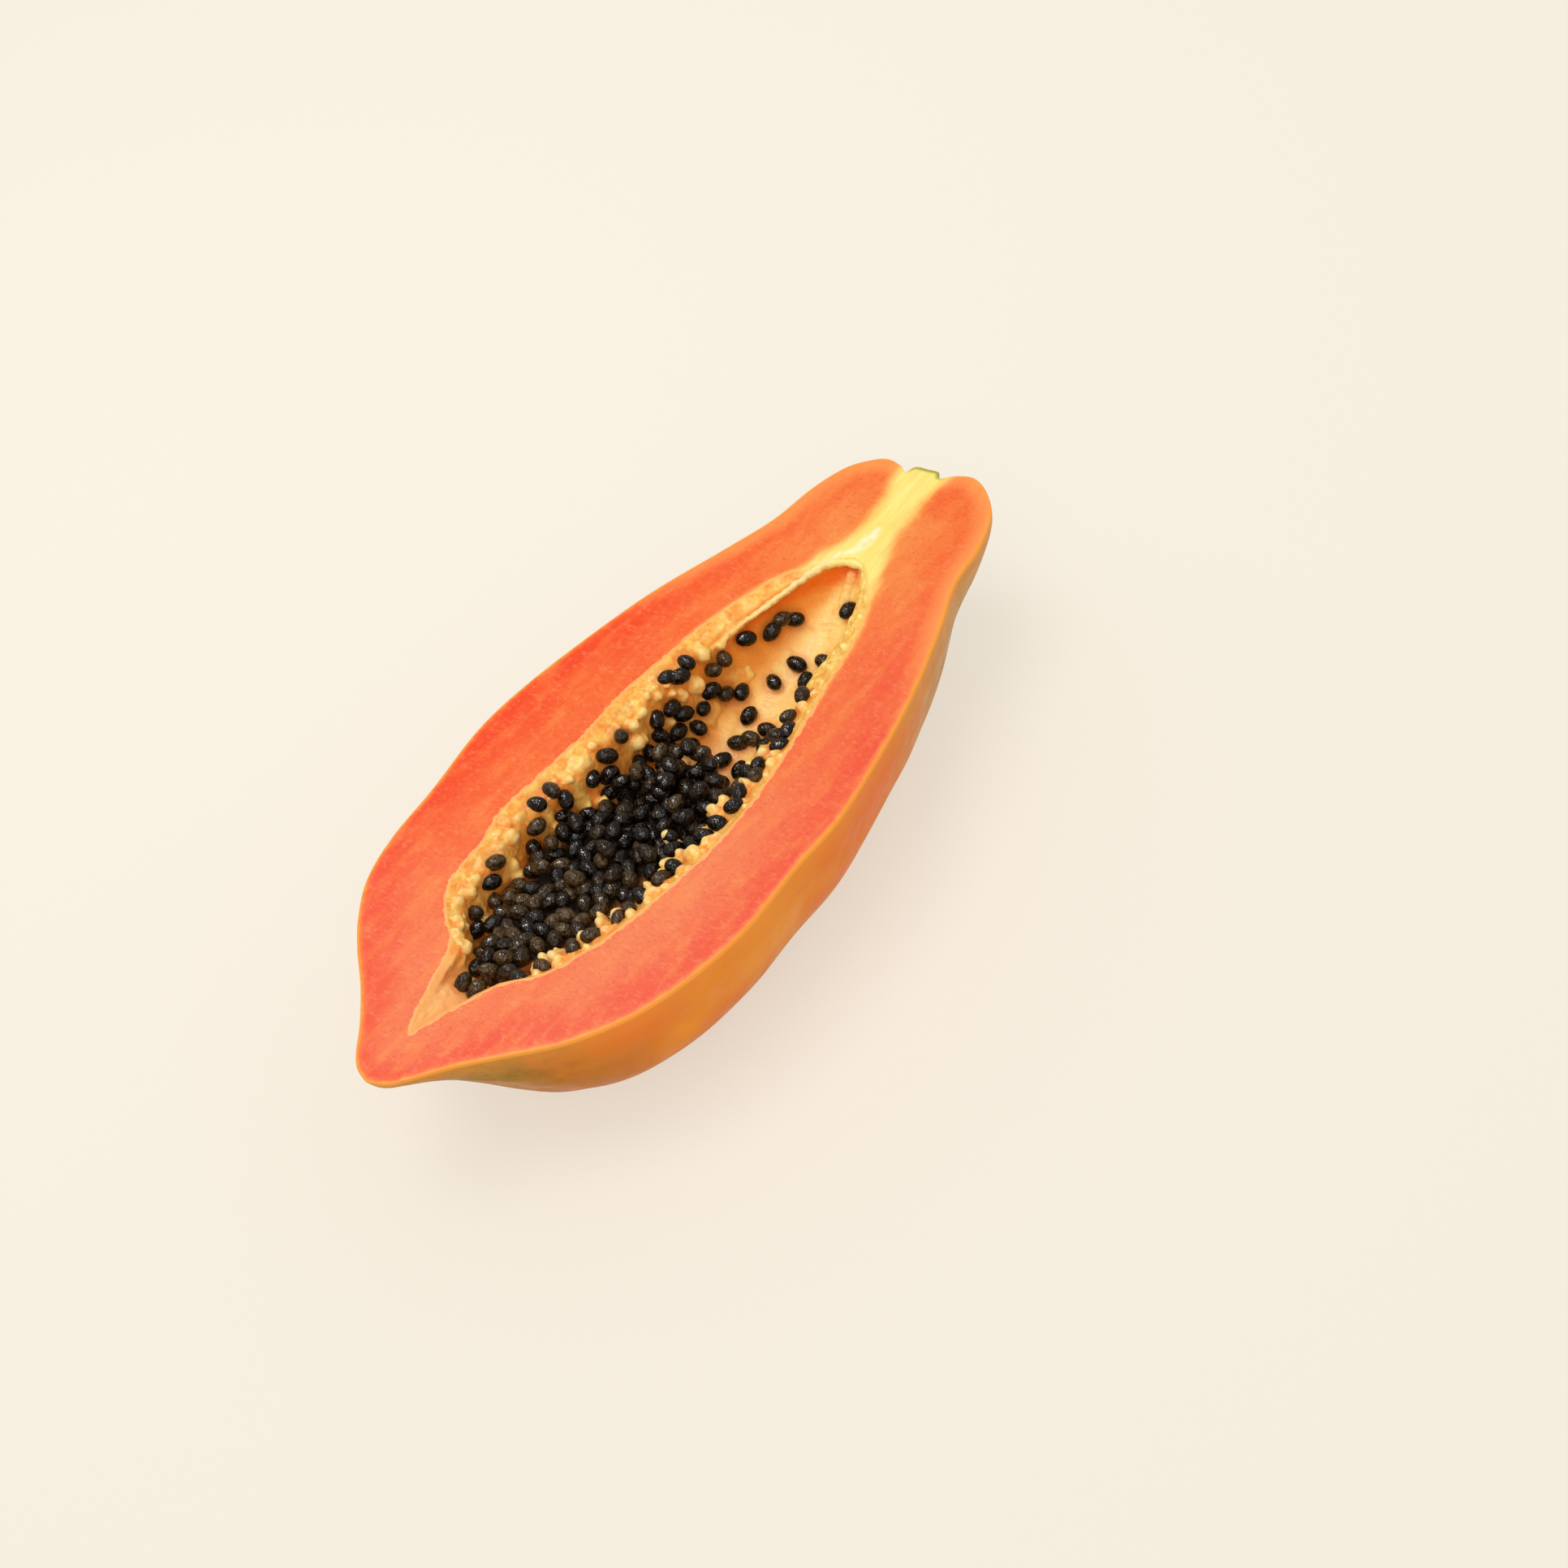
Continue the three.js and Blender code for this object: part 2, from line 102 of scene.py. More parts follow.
def plain_material(name, **values):
    """A new material and its tree and main shader."""
    made = bpy.data.materials.new(name)
    made.use_nodes = True
    shader = made.node_tree.nodes["Principled BSDF"]
    return made, made.node_tree, set_node(made.node_tree, shader, **values)


table_colour = (*[c * (1 - TABLE_GLOW) for c in BACKGROUND], 1)
table_finish = plain_material(
    "table_finish", Base_Color=table_colour, Emission_Color=(*BACKGROUND, 1),
    Emission_Strength=TABLE_GLOW, Roughness=0.9, Specular_IOR_Level=0.1)[0]
table_mesh = bpy.data.meshes.new("table")
table_corners = [(x * TABLE_HALF, y * TABLE_HALF, 0) for x, y in ((-1, -1), (1, -1), (1, 1), (-1, 1))]
table_mesh.from_pydata(table_corners, [], [(0, 1, 2, 3)])
table_mesh.materials.append(table_finish)
table = put("table", table_mesh)

scene.world = bpy.data.worlds.new("room")
scene.world.use_nodes = True
room = scene.world.node_tree
set_node(room, room.nodes["Background"], Color=(1.0, 0.985, 0.96, 1), Strength=0.55)


def add_light(name, kind, towards, strength, distance=0.0, **settings):
    """A light that shines from the direction towards the middle of the fruit."""
    lamp = bpy.data.lights.new(name, kind)
    lamp.energy = strength
    for setting, value in settings.items():
        setattr(lamp, setting, value)
    made = put(name, lamp)
    direction = Vector(towards).normalized()
    made.rotation_euler = direction.to_track_quat("Z", "Y").to_euler()
    made.location = direction * distance
    return made


add_light("overhead", "SUN", (-0.2, 0.0, 1.0), 0.82, angle=math.radians(32))
add_light("near_side", "SUN", (-0.62, -0.58, 0.95), 0.7, angle=math.radians(40))
add_light("window", "AREA", (0.1, 0.55, 1.0), 1.4, 0.9, use_shadow=False, shape="RECTANGLE",
          size=0.15, size_y=0.1)
glint = add_light("glint", "AREA", (0.0, 0.25, 1.0), 3.0, 0.8, shape="RECTANGLE", size=0.14,
                  size_y=0.09)
glint.visible_diffuse = False

# ---------------------------------------------------------------- the half fruit
# One body of ripe flesh in its thin waxy skin, grown in one piece and cut lengthwise with a
# knife. Its belly is rounded with faint lengthwise ribs and stands on a small flat spot. The
# hollow is lined with soft pulp, with a ledge of it left standing along both edges.

# From the frame of the cut face (millimetres, z = 0 on the cut, x towards the stalk, y to the
# left) to the frame of the model.
CUT_TO_MODEL = np.array([-2.2, 1.05, 60.0])
REST_DEPTH = 60.0

# Stations of the cut rim from the blossom tip to the stalk stub: x and y of the left edge, x
# and y of the right edge, section depth over half width.
RIM = [
    (-133.2, 1.0, -133.2, 1.0, 0.86), (-130.9, 6.5, -131.0, -4.8, 0.72),
    (-126.5, 11.0, -127.0, -9.2, 0.65), (-118.0, 17.2, -118.0, -17.4, 0.72),
    (-107.8, 26.1, -107.8, -28.8, 0.86), (-98.0, 36.2, -98.0, -39.9, 0.96),
    (-88.5, 44.4, -88.0, -47.9, 1.03), (-76.0, 52.0, -76.0, -54.6, 1.02),
    (-60.0, 56.1, -60.4, -59.6, 1.01), (-40.0, 57.6, -40.0, -62.7, 1.01),
    (-15.0, 60.6, -15.0, -61.9, 1.0), (5.0, 59.3, 5.0, -62.2, 0.99),
    (30.0, 54.4, 30.0, -58.3, 1.0), (55.0, 47.8, 55.0, -52.6, 1.07),
    (80.0, 38.0, 80.0, -44.4, 1.12), (97.0, 31.8, 97.0, -37.8, 1.0),
    (113.0, 29.0, 113.0, -35.6, 0.8), (125.0, 24.8, 126.0, -30.9, 0.7),
    (131.5, 19.0, 134.0, -23.5, 0.76), (134.0, 14.0, 137.6, -16.3, 0.8),
    (133.0, 8.5, 136.0, -10.0, 0.85), (131.4, 5.6, 133.3, -6.3, 0.88),
    (134.4, 3.9, 135.3, -4.4, 0.9), (135.0, -0.5, 135.0, -0.5, 0.9),
]

# Stations of the hollow's edge on the cut, blossom end to stalk end: x, left y, right y.
HOLLOW = [
    (-114.3, 1.0, 1.0), (-109.0, 3.7, -0.9), (-102.0, 6.1, -3.9), (-95.0, 8.2, -7.2),
    (-88.0, 10.1, -11.1), (-82.0, 13.1, -17.7), (-77.0, 18.8, -21.7), (-70.0, 25.6, -24.7),
    (-62.0, 28.5, -27.8), (-50.0, 28.8, -30.7), (-38.0, 31.6, -32.9), (-22.0, 30.1, -34.8),
    (-3.0, 28.3, -34.9), (15.0, 28.4, -32.5), (32.0, 25.9, -29.6), (48.0, 23.6, -26.3),
    (63.0, 19.4, -23.6), (75.0, 14.8, -19.9), (84.0, 8.9, -15.0), (90.0, 3.5, -9.8),
    (92.3, 0.4, -6.6), (93.3, -2.5, -2.5),
]

# Section of the hollow from its left edge (1) to its right edge (-1): place across, and depth
# as a share of the half width. Towards the blossom end the bowl closes to a smooth groove.
BOWL = [
    (1, 0), (0.9, 0.06), (0.8, 0.13), (0.76, 0.34), (0.7, 0.6), (0.58, 0.82), (0.4, 0.95),
    (0.2, 1), (0, 1), (-0.2, 0.97), (-0.36, 0.86), (-0.47, 0.68), (-0.55, 0.45),
    (-0.6, 0.31), (-0.8, 0.15), (-1, 0),
]
GROOVE = [(1, 0), (0.7, 0.23), (0.4, 0.47), (0.15, 0.68), (-0.1, 0.85), (-0.45, 0.51), (-1, 0)]
GROOVE_END = -100.0
BOWL_START = -84.0


def smooth_rows(rows, steps):
    """A smooth curve through rows of numbers, sampled evenly between the rows."""
    rows = np.array(rows, float)
    last = len(rows) - 1
    k = np.arange(last * steps + 1)
    i = np.minimum(k // steps, last - 1)
    t = (k / steps - i)[:, None]
    a, b = rows[np.maximum(i - 1, 0)], rows[i]
    c, d = rows[i + 1], rows[np.minimum(i + 2, last)]
    v0, v1 = (c - a) / 2, (d - b) / 2
    return (2 * b - 2 * c + v0 + v1) * t ** 3 + (3 * c - 3 * b - 2 * v0 - v1) * t ** 2 + v0 * t + b


def smooth_step(value, low, high):
    """Soft change from 0 at low to 1 at high. It falls where low is the higher of the two."""
    t = np.clip((np.asarray(value, float) - low) / (high - low), 0, 1)
    return t * t * (3 - 2 * t)


def between(table_rows, value):
    """The second number of falling [place, value] rows at a place, straight between the rows."""
    rows = np.array(table_rows, float)[::-1]
    return np.interp(value, rows[:, 0], rows[:, 1])


hollow_edge = smooth_rows(HOLLOW, 8)
FACETED = (BOWL, GROOVE)  # the section with its corners, on which seeds and knobs take their places
SOFT = (smooth_rows(BOWL, 6), smooth_rows(GROOVE, 6))  # the rounded section of the lining


def hollow_at(x):
    """Middle and half width of the hollow at x."""
    left, right = [np.interp(x, hollow_edge[:, 0], hollow_edge[:, side]) for side in (1, 2)]
    return (left + right) / 2, (left - right) / 2


def lining(x, across, section=FACETED):
    """Points of the lining: x along the fruit, across from -1 (right edge) to 1 (left edge)."""
    middle, half = hollow_at(x)
    share = smooth_step(x, GROOVE_END, BOWL_START)
    bowl, groove = [between(rows, across) for rows in section]
    depth = groove * (1 - share) + bowl * share
    return np.stack(np.broadcast_arrays(x, middle + half * across, -half * depth), -1)


def lining_below(x, y, section=FACETED):
    """The point of the lining straight below a place on the cut."""
    middle, half = hollow_at(x)
    return lining(x, (y - middle) / np.maximum(half, 0.01), section)


def lining_normal(x, y, section=FACETED):
    """The lining's direction into the hollow at a place."""
    step = 0.5
    along_x = lining_below(x + step, y, section) - lining_below(x - step, y, section)
    along_y = lining_below(x, y + step, section) - lining_below(x, y - step, section)
    normal = np.cross(along_x, along_y) + (0, 0, 1e-9)
    return normal / np.linalg.norm(normal, axis=-1, keepdims=True)


def roughly(points, size, octaves=2, shift=0.0):
    """Soft noise from about -1 to 1 at points, for lumps of the given size in millimetres."""
    spots = np.asarray(points, float).reshape(-1, 3) / size + shift
    return np.array([noise.fractal(Vector(p), 0.8, 2.0, octaves) for p in spots])


def distance_to(points, loop):
    """Distance of points to a closed line."""
    start, end = loop, np.roll(loop, -1, axis=0)
    run = end - start
    length = np.maximum((run ** 2).sum(-1), 1e-9)
    best = np.full(len(points), np.inf)
    for s, r, l in zip(start, run, length):
        t = np.clip(((points - s) @ r) / l, 0, 1)
        best = np.minimum(best, ((points - s - t[:, None] * r) ** 2).sum(-1))
    return np.sqrt(best)


def inside(points, loop):
    """Whether flat points lie inside a closed flat line."""
    found = np.zeros(len(points), bool)
    x, y = points[:, 0], points[:, 1]
    for (x0, y0), (x1, y1) in zip(loop, np.roll(loop, -1, axis=0)):
        if y0 != y1:
            found ^= ((y0 > y) != (y1 > y)) & (x < (x1 - x0) * (y - y0) / (y1 - y0) + x0)
    return found


def piece_from(name, points, faces, finishes=(), indices=None, numbers=None):
    """An object at the origin from points in the frame of the cut face, in millimetres."""
    mesh = bpy.data.meshes.new(name)
    mesh.from_pydata(((np.asarray(points) + CUT_TO_MODEL) / 1000).tolist(), [], faces)
    for finish in finishes:
        mesh.materials.append(finish)
    if indices is not None:
        mesh.polygons.foreach_set("material_index", indices)
    for label, values in (numbers or {}).items():
        mesh.attributes.new(label, "FLOAT", "POINT").data.foreach_set("value", np.float32(values))
    mesh.polygons.foreach_set("use_smooth", [True] * len(mesh.polygons))
    mesh.update()
    return put(name, mesh)


def make_draw(seed):
    """Repeatable draws between 0 and 1."""
    state = [seed]

    def draw():
        state[0] = (state[0] * 16807) % 2147483647
        return state[0] / 2147483647

    return draw


# Places on the lining where single seeds and knobs of pulp grow: x and y, in millimetres.
SEED_LENGTH = 6.6
SEED_WIDTH = 4.7
SEED_SINK = 0.9  # how deep a seed sits in the pulp
GAP = 0.35  # least depth below the cut
LONE_SEEDS = [
    (82.7, -6.2), (72.9, 9.5), (69.8, 11.6), (65.2, 12.6), (66.8, -5.4), (63.3, 2.9),
    (59.1, -3.9), (57.1, 15.6), (55.0, 6.1), (47.7, 17.5), (46.5, 12.3), (42.5, -20.2),
    (42.6, 18.1), (42.3, 15.0), (41.9, 6.7), (40.1, -2.3), (38.7, 17.3), (37.0, 22.2),
    (35.6, 1.1), (34.6, -5.1), (33.9, -21.3), (33.6, 16.8), (32.7, 4.5), (31.8, 20.7),
    (29.4, 24.0), (28.5, 15.9), (28.2, -26.0), (27.0, 18.8), (26.3, -22.6), (25.3, 5.5),
    (24.9, -2.2), (24.7, 20.1), (23.5, 14.7), (23.1, 9.1), (22.5, 18.4), (21.8, -28.5),
    (18.7, 1.1), (18.4, 21.0), (18.2, 9.1), (17.5, 18.0), (16.6, 20.1), (14.1, -25.0),
    (12.5, 7.7), (11.9, 11.2), (11.8, 15.6), (11.0, -1.6), (10.8, 19.8), (10.3, -5.0),
    (7.8, 5.1), (6.2, -23.3), (5.9, 16.0), (5.5, 19.7), (4.6, 22.1), (3.9, 13.1),
    (3.8, 2.2), (0.8, 18.9), (-1.1, 16.5), (-2.9, 21.8), (-3.0, -29.4), (-4.7, 18.2),
    (-5.4, 20.9), (-7.9, 20.0), (-10.6, 21.9), (-15.3, 19.9), (-16.8, 18.6), (-19.2, -26.3),
    (-20.4, 20.4), (-21.5, 23.2), (-22.5, 27.0), (-24.6, 22.7), (-28.8, 27.4), (-31.9, 22.1),
    (-31.6, 20.2), (-33.9, 24.6), (-37.4, 22.7), (-38.3, 23.8), (-40.9, 18.9), (-46.4, 18.6),
    (-52.2, 24.0), (-52.6, -25.4), (-53.1, 20.7), (-54.6, 17.4), (-57.1, 22.5), (-59.3, 21.4),
    (-60.6, 18.8), (-68.4, 20.6), (-68.1, 16.7), (-72.0, 17.8), (-71.6, 12.3), (-76.8, -16.5),
    (-77.1, 12.5), (-76.7, 5.0), (-83.0, 7.7), (-82.3, 4.3), (-90.3, 0.2), (-90.9, 4.4),
]
LONE_KNOBS = [
    (70.8, 12.0), (53.8, 16.6), (49.3, 18.0), (42.7, -24.5), (42.3, 19.5), (37.9, -23.6),
    (34.0, -25.1), (35.9, 18.6), (30.2, 19.3), (27.2, 20.4), (25.6, 25.6), (22.8, 19.4),
    (20.6, -25.1), (15.1, 22.3), (11.0, 20.9), (-15.3, -28.4), (-16.7, 24.3), (-16.0, 21.1),
    (-28.1, 23.0), (-31.8, 26.1), (-31.9, -25.2), (-42.1, 25.6), (-42.2, -29.1), (-48.3, 21.4),
    (-55.6, 19.8), (-57.9, -26.4), (-62.8, -23.8), (-64.5, 22.7), (-64.7, 20.1), (-66.2, -21.6),
    (-72.7, -19.8), (-81.4, 10.7),
]
# Rows along the ledges: first x, last x, mean spacing, place across the hollow.
SEED_ROWS = [(-84, 16, 6.4, -0.78), (-76, 18, 7.2, -0.6)]
KNOB_ROWS = [(-76, 24, 6.6, 0.87), (-72, 20, 7.5, 0.75), (-80, 60, 8.5, -0.88)]
ROW_SPREAD, ROW_UNEVEN = 0.1, 0.6
SEED_TILT, SEED_ROOM = 0.4, 0.8
KNOB_SIZE, KNOB_UNEVEN, KNOB_ROOM = 2.6, 0.5, 0.3


def row_places(rows, draw):
    """Places along rows, unevenly spaced."""
    places = []
    for x, last, spacing, across in rows:
        while x < last:
            middle, half = hollow_at(x)
            places.append((x, middle + half * (across + ROW_SPREAD * (draw() - 0.5))))
            x += spacing * (1 + ROW_UNEVEN * (draw() - 0.5))
    return places


def free_of(beads, at, room):
    """Whether nothing that grows on the lining is within the room round a place."""
    return all(np.linalg.norm(other - at) > room for other, _ in beads)


bead_draw = make_draw(11)
beads = []  # all that grows on the lining: place and half height
fixed_seeds = []  # place, turn and tilt
knobs = []  # place and half height
for x, y in LONE_SEEDS + row_places(SEED_ROWS, bead_draw):
    at = lining_below(x, y) + lining_normal(x, y) * (SEED_WIDTH / 2 - SEED_SINK)
    at[2] = min(at[2], -SEED_LENGTH / 2)
    turn = bead_draw() * math.pi
    tilt = SEED_TILT * (2 * bead_draw() - 1)
    if free_of(beads, at, SEED_WIDTH * SEED_ROOM):
        beads.append((at, SEED_WIDTH / 2))
        fixed_seeds.append((at, turn, tilt))
for x, y in LONE_KNOBS + row_places(KNOB_ROWS, bead_draw):
    size = KNOB_SIZE * (1 + KNOB_UNEVEN * (bead_draw() - 0.5))
    at = lining_below(x, y)
    at[2] = min(at[2], -size - GAP)
    bead_draw()  # the turn of the solid's knob, which isn't needed here
    if free_of(beads, at, size + SEED_WIDTH * KNOB_ROOM):
        beads.append((at, size))
        knobs.append((at, size))

# Seeds at the very edge lie flat and a little higher, so that the pulp doesn't bury them.
SEED_SHOWS, EDGE_HIGHEST = 0.5, -2.55
for index, (at, turn, tilt) in enumerate(fixed_seeds):
    outward = lining_normal(at[0], at[1])
    sunk = float(np.dot(lining_below(at[0], at[1]) - at, outward)) + SEED_SHOWS
    if sunk > 0:
        lifted = at + outward * sunk
        lifted[2] = min(lifted[2], EDGE_HIGHEST)
        fixed_seeds[index] = (lifted, turn, 0.0)

# Belly: half rounds from the left to the right edge of the rim, ribbed a little.
SKIN_COLUMNS = 96
RIB_HEIGHT, RIBS = 0.55, 5
SWELL_HEIGHT, SWELL_SIZE = 0.55, 34.0
RIBBED_DEPTH, RIBBED_WIDTH = (2.0, 16.0), (8.0, 30.0)  # where ribs start and where they are full
REST_SOFTNESS = 3.0  # how sharply the flat spot starts, per millimetre
PARING = 0.22  # the peel's edge drops this much below the cut
rim_rings = smooth_rows(RIM, 10)
angle = np.linspace(0, math.pi, SKIN_COLUMNS + 1)
left_rim, right_rim = [np.insert(rim_rings[:, k:k + 2], 2, 0, axis=1) for k in (0, 2)]
rim_middle = (left_rim + right_rim) / 2
rim_arm = (left_rim - right_rim) / 2
half_width = np.linalg.norm(rim_arm, axis=1)[:, None]
belly = rim_middle[:, None] + rim_arm[:, None] * np.cos(angle)[None, :, None]
belly_depth = rim_rings[:, 4:5] * half_width * np.sin(angle)
ribbed = smooth_step(belly_depth, *RIBBED_DEPTH) * smooth_step(half_width, *RIBBED_WIDTH)
belly[:, :, 2] = -belly_depth
swell = SWELL_HEIGHT * roughly(belly, SWELL_SIZE).reshape(belly_depth.shape)
swell = (RIB_HEIGHT * np.cos(angle * 2 * RIBS) + swell) * ribbed
belly += rim_arm[:, None] / np.maximum(half_width, 1)[..., None] * (np.cos(angle) * swell)[..., None]
belly_depth += np.sin(angle) * swell
belly_depth -= np.log1p(np.exp(REST_SOFTNESS * (belly_depth - REST_DEPTH))) / REST_SOFTNESS
belly[:, :, 2] = -belly_depth
belly[:, [0, -1], 2] -= PARING

points = []
faces = []
finish_of_face = []


def add_points(more):
    """Adds points to the body and tells the number of the first."""
    first = sum(len(part) for part in points)
    points.append(np.asarray(more, float).reshape(-1, 3))
    return first


def add_sheet(grid, material_index, outward):
    """A grid of points that closes to one point at its first and last ring."""
    rings, columns = grid.shape[:2]
    first = add_points(grid[1:-1])
    tips = (add_points(grid[0, :1]), add_points(grid[-1, :1]))
    ids = np.empty((rings, columns), int)
    ids[1:-1] = first + np.arange((rings - 2) * columns).reshape(rings - 2, columns)
    ids[0] = tips[0]
    ids[-1] = tips[1]
    for i in range(rings - 1):
        for j in range(columns - 1):
            corners = [ids[i, j], ids[i + 1, j], ids[i + 1, j + 1], ids[i, j + 1]]
            kept = list(dict.fromkeys(int(c) for c in corners))
            faces.append(kept if outward else kept[::-1])
            finish_of_face.append(material_index)
    return ids


skin_ids = add_sheet(belly, 0, True)

# Lining of the hollow, a little lumpy below its edge and more so on the left wall.
LINING_LUMPS, LUMP_SIZE, WALL_LUMPS = 0.55, 5.5, 1.5
BROAD_LUMPS, BROAD_SIZE = 0.4, 14.0
lining_rings = smooth_rows(HOLLOW, 10)
lining_across = SOFT[0][:, 0]
lining_grid = lining(lining_rings[:, :1], lining_across[None, :], SOFT)
lining_grid[:, 0, 1] = lining_rings[:, 1]
lining_grid[:, -1, 1] = lining_rings[:, 2]
lining_grid[0] = (*HOLLOW[0][:2], 0)
lining_grid[-1] = (*HOLLOW[-1][:2], 0)
flat_grid = lining_grid.reshape(-1, 3)
x, y, z = flat_grid.T
left_wall = smooth_step(lining_across, 0.3, 0.45) * smooth_step(lining_across, 0.85, 0.7)
left_wall = (smooth_step(lining_rings[:, :1], 45, 15) * left_wall).ravel()
lump = roughly(flat_grid, LUMP_SIZE, 3) * smooth_step(x, 80, 10) * (1 + WALL_LUMPS * left_wall)
lump = LINING_LUMPS * (lump + BROAD_LUMPS * roughly(flat_grid, BROAD_SIZE, 2, 7.0))
lump = (lump * smooth_step(-z, 0.3, 3.0))[:, None] * lining_normal(x, y, SOFT)
lining_ids = add_sheet((flat_grid + lump).reshape(lining_grid.shape), 2, False)

# Cut face: fine strips along both edges, then an even net of points between them.
RIM_STRIPS = (0.4, 0.85, 1.4, 2.1, 3.0)
HOLLOW_STRIPS = (0.45, 1.0, 1.7, 2.6)
NET, NET_ROW = 1.65, 0.866  # spacing, and a row's share of it
NET_ROWS, NET_RIGHT, NET_FROM, NET_TO = 90, -64, -134, 138
NET_CLEAR, NET_STRAY = 0.9, 0.12  # how far it stays off the last strip, and how uneven it is
rim_loop_ids = [*skin_ids[:, -1], *skin_ids[1:-1, 0][::-1]]
hollow_loop_ids = [*lining_ids[:, -1], *lining_ids[1:-1, 0][::-1]]
all_points = np.concatenate(points)
rim_loop = all_points[rim_loop_ids][:, :2]
hollow_loop = all_points[hollow_loop_ids][:, :2]


def on_the_cut(spots):
    """Whether points lie on the cut face, between its two edges."""
    return inside(spots, rim_loop) & ~inside(spots, hollow_loop)


def clear_of_edges(spots, rim_room, hollow_room):
    """Whether points keep that far off the two edges of the cut."""
    return (distance_to(spots, rim_loop) > rim_room) & (distance_to(spots, hollow_loop) > hollow_room)


def strip_points(loop, gaps, direction):
    """Points beside a closed line at each of the gaps, inwards (1) or outwards (-1)."""
    run = np.roll(loop, -1, axis=0) - np.roll(loop, 1, axis=0)
    side = np.column_stack([-run[:, 1], run[:, 0]]) / np.linalg.norm(run, axis=1, keepdims=True)
    found = []
    for gap in gaps:
        spots = loop + side * direction * gap
        found.append(spots[distance_to(spots, loop) > gap * 0.93])
    return np.concatenate(found)


net = np.array([
    (x + (row % 2) * NET / 2, NET_RIGHT + row * NET * NET_ROW)
    for row in range(NET_ROWS) for x in np.arange(NET_FROM, NET_TO, NET)])
net += NET_STRAY * np.column_stack([np.sin(net[:, 1] * 7.3 + net[:, 0] * 3.1), np.sin(net[:, 0] * 5.7)])
net = net[on_the_cut(net)]
net = net[clear_of_edges(net, RIM_STRIPS[-1] + NET_CLEAR, HOLLOW_STRIPS[-1] + NET_CLEAR)]
loose = np.concatenate([
    strip_points(rim_loop, RIM_STRIPS, 1), strip_points(hollow_loop, HOLLOW_STRIPS, -1)])
loose = loose[on_the_cut(loose) & clear_of_edges(loose, 0.3, 0.3)]
loose = np.concatenate([loose, net])
first_loose = add_points(np.column_stack([loose, np.zeros(len(loose))]))
flat_points = np.concatenate([rim_loop, hollow_loop, loose])
flat_ids = [*rim_loop_ids, *hollow_loop_ids, *range(first_loose, first_loose + len(loose))]
ring_edges = []
for start, count in ((0, len(rim_loop)), (len(rim_loop), len(hollow_loop))):
    ring_edges += [(start + k, start + (k + 1) % count) for k in range(count)]
found = delaunay_2d_cdt([Vector(p) for p in flat_points], ring_edges, [], 0, 1e-6)
original = [flat_ids[source[0]] for source in found[3]]
cut_triangles = np.array([[int(original[c]) for c in face] for face in found[2]])
all_points = np.concatenate(points)
cut_triangles = cut_triangles[on_the_cut(all_points[cut_triangles][:, :, :2].mean(1))]
corners = all_points[cut_triangles]
rising = np.cross(corners[:, 1] - corners[:, 0], corners[:, 2] - corners[:, 0])[:, 2] > 0
faces += [ids if up else ids[::-1] for ids, up in zip(cut_triangles.tolist(), rising)]
finish_of_face += [1] * len(cut_triangles)

# What the finishes need to know at each point, in millimetres or as a share.
RIPPLE_HEIGHT, RIPPLE_SIZE = 0.1, 3.0  # what the knife left on the cut
rim_gap = distance_to(all_points, all_points[rim_loop_ids])
hollow_gap = distance_to(all_points, all_points[hollow_loop_ids])
on_cut = np.arange(len(all_points)) >= first_loose
ripple = RIPPLE_HEIGHT * roughly(all_points[on_cut], RIPPLE_SIZE)
ripple *= smooth_step(rim_gap[on_cut], 0.5, 2.5) * smooth_step(hollow_gap[on_cut], 0.5, 2.5)
all_points[on_cut, 2] += ripple

# The pale core of the stalk: x, left edge, right edge. It opens round the end of the hollow.
CORE = [
    (70, 16.6, -21.5), (79.0, 12.8, -19.6), (84.0, 10.6, -17.6), (87.5, 9.6, -16.4), (92.2, 7.8, -14.2),
    (98.3, 5.6, -11.6), (105.3, 4.0, -9.6), (113.1, 4.2, -8.3), (120.3, 5.4, -7.8), (126.8, 6.9, -7.8),
    (133, 8.2, -8.6), (137, 8.2, -9),
]
core_rows = np.array(CORE)
core_left, core_right = [
    np.interp(all_points[:, 0], core_rows[:, 0], core_rows[:, side]) for side in (1, 2)]
core_inside = np.minimum(core_left - all_points[:, 1], all_points[:, 1] - core_right)
core = smooth_step(core_inside, -4.0, 4.6) * smooth_step(all_points[:, 0], 68, 92)
# Lines on the cut, each point with its half thickness: the white vessels and the slit in them.
WHITE_STREAK = [
    (83.0, 7.0, -1.4), (88.6, 4.9, -0.9), (91.2, 3.6, -0.6), (93.8, 1.9, -0.2), (95.6, -0.3, 0.2),
    (99.6, -1.7, 0.6), (103.5, -1.9, 0.5), (107.1, -1.1, -0.3),
]
STREAK_SLIT = [(97.5, -1.5, 0.0), (99.6, -1.9, 0.2), (102.5, -2.1, 0.0)]


def gap_to(stations):
    """Distance of every point to a short thick line."""
    found = np.full(len(all_points), np.inf)
    for x, y, thickness in smooth_rows(stations, 6):
        found = np.minimum(found, np.hypot(all_points[:, 0] - x, all_points[:, 1] - y) - thickness)
    return found


STALK_SIDE = 66.0  # x where the end of the hollow starts to close
STAIN_AND_SHADE_REACH = 6.2  # how far from its middle a seed darkens the pulp with a wet stain and painted contact shade
VESSEL_SHOWS = 0.3  # how far its pale part lies above its middle
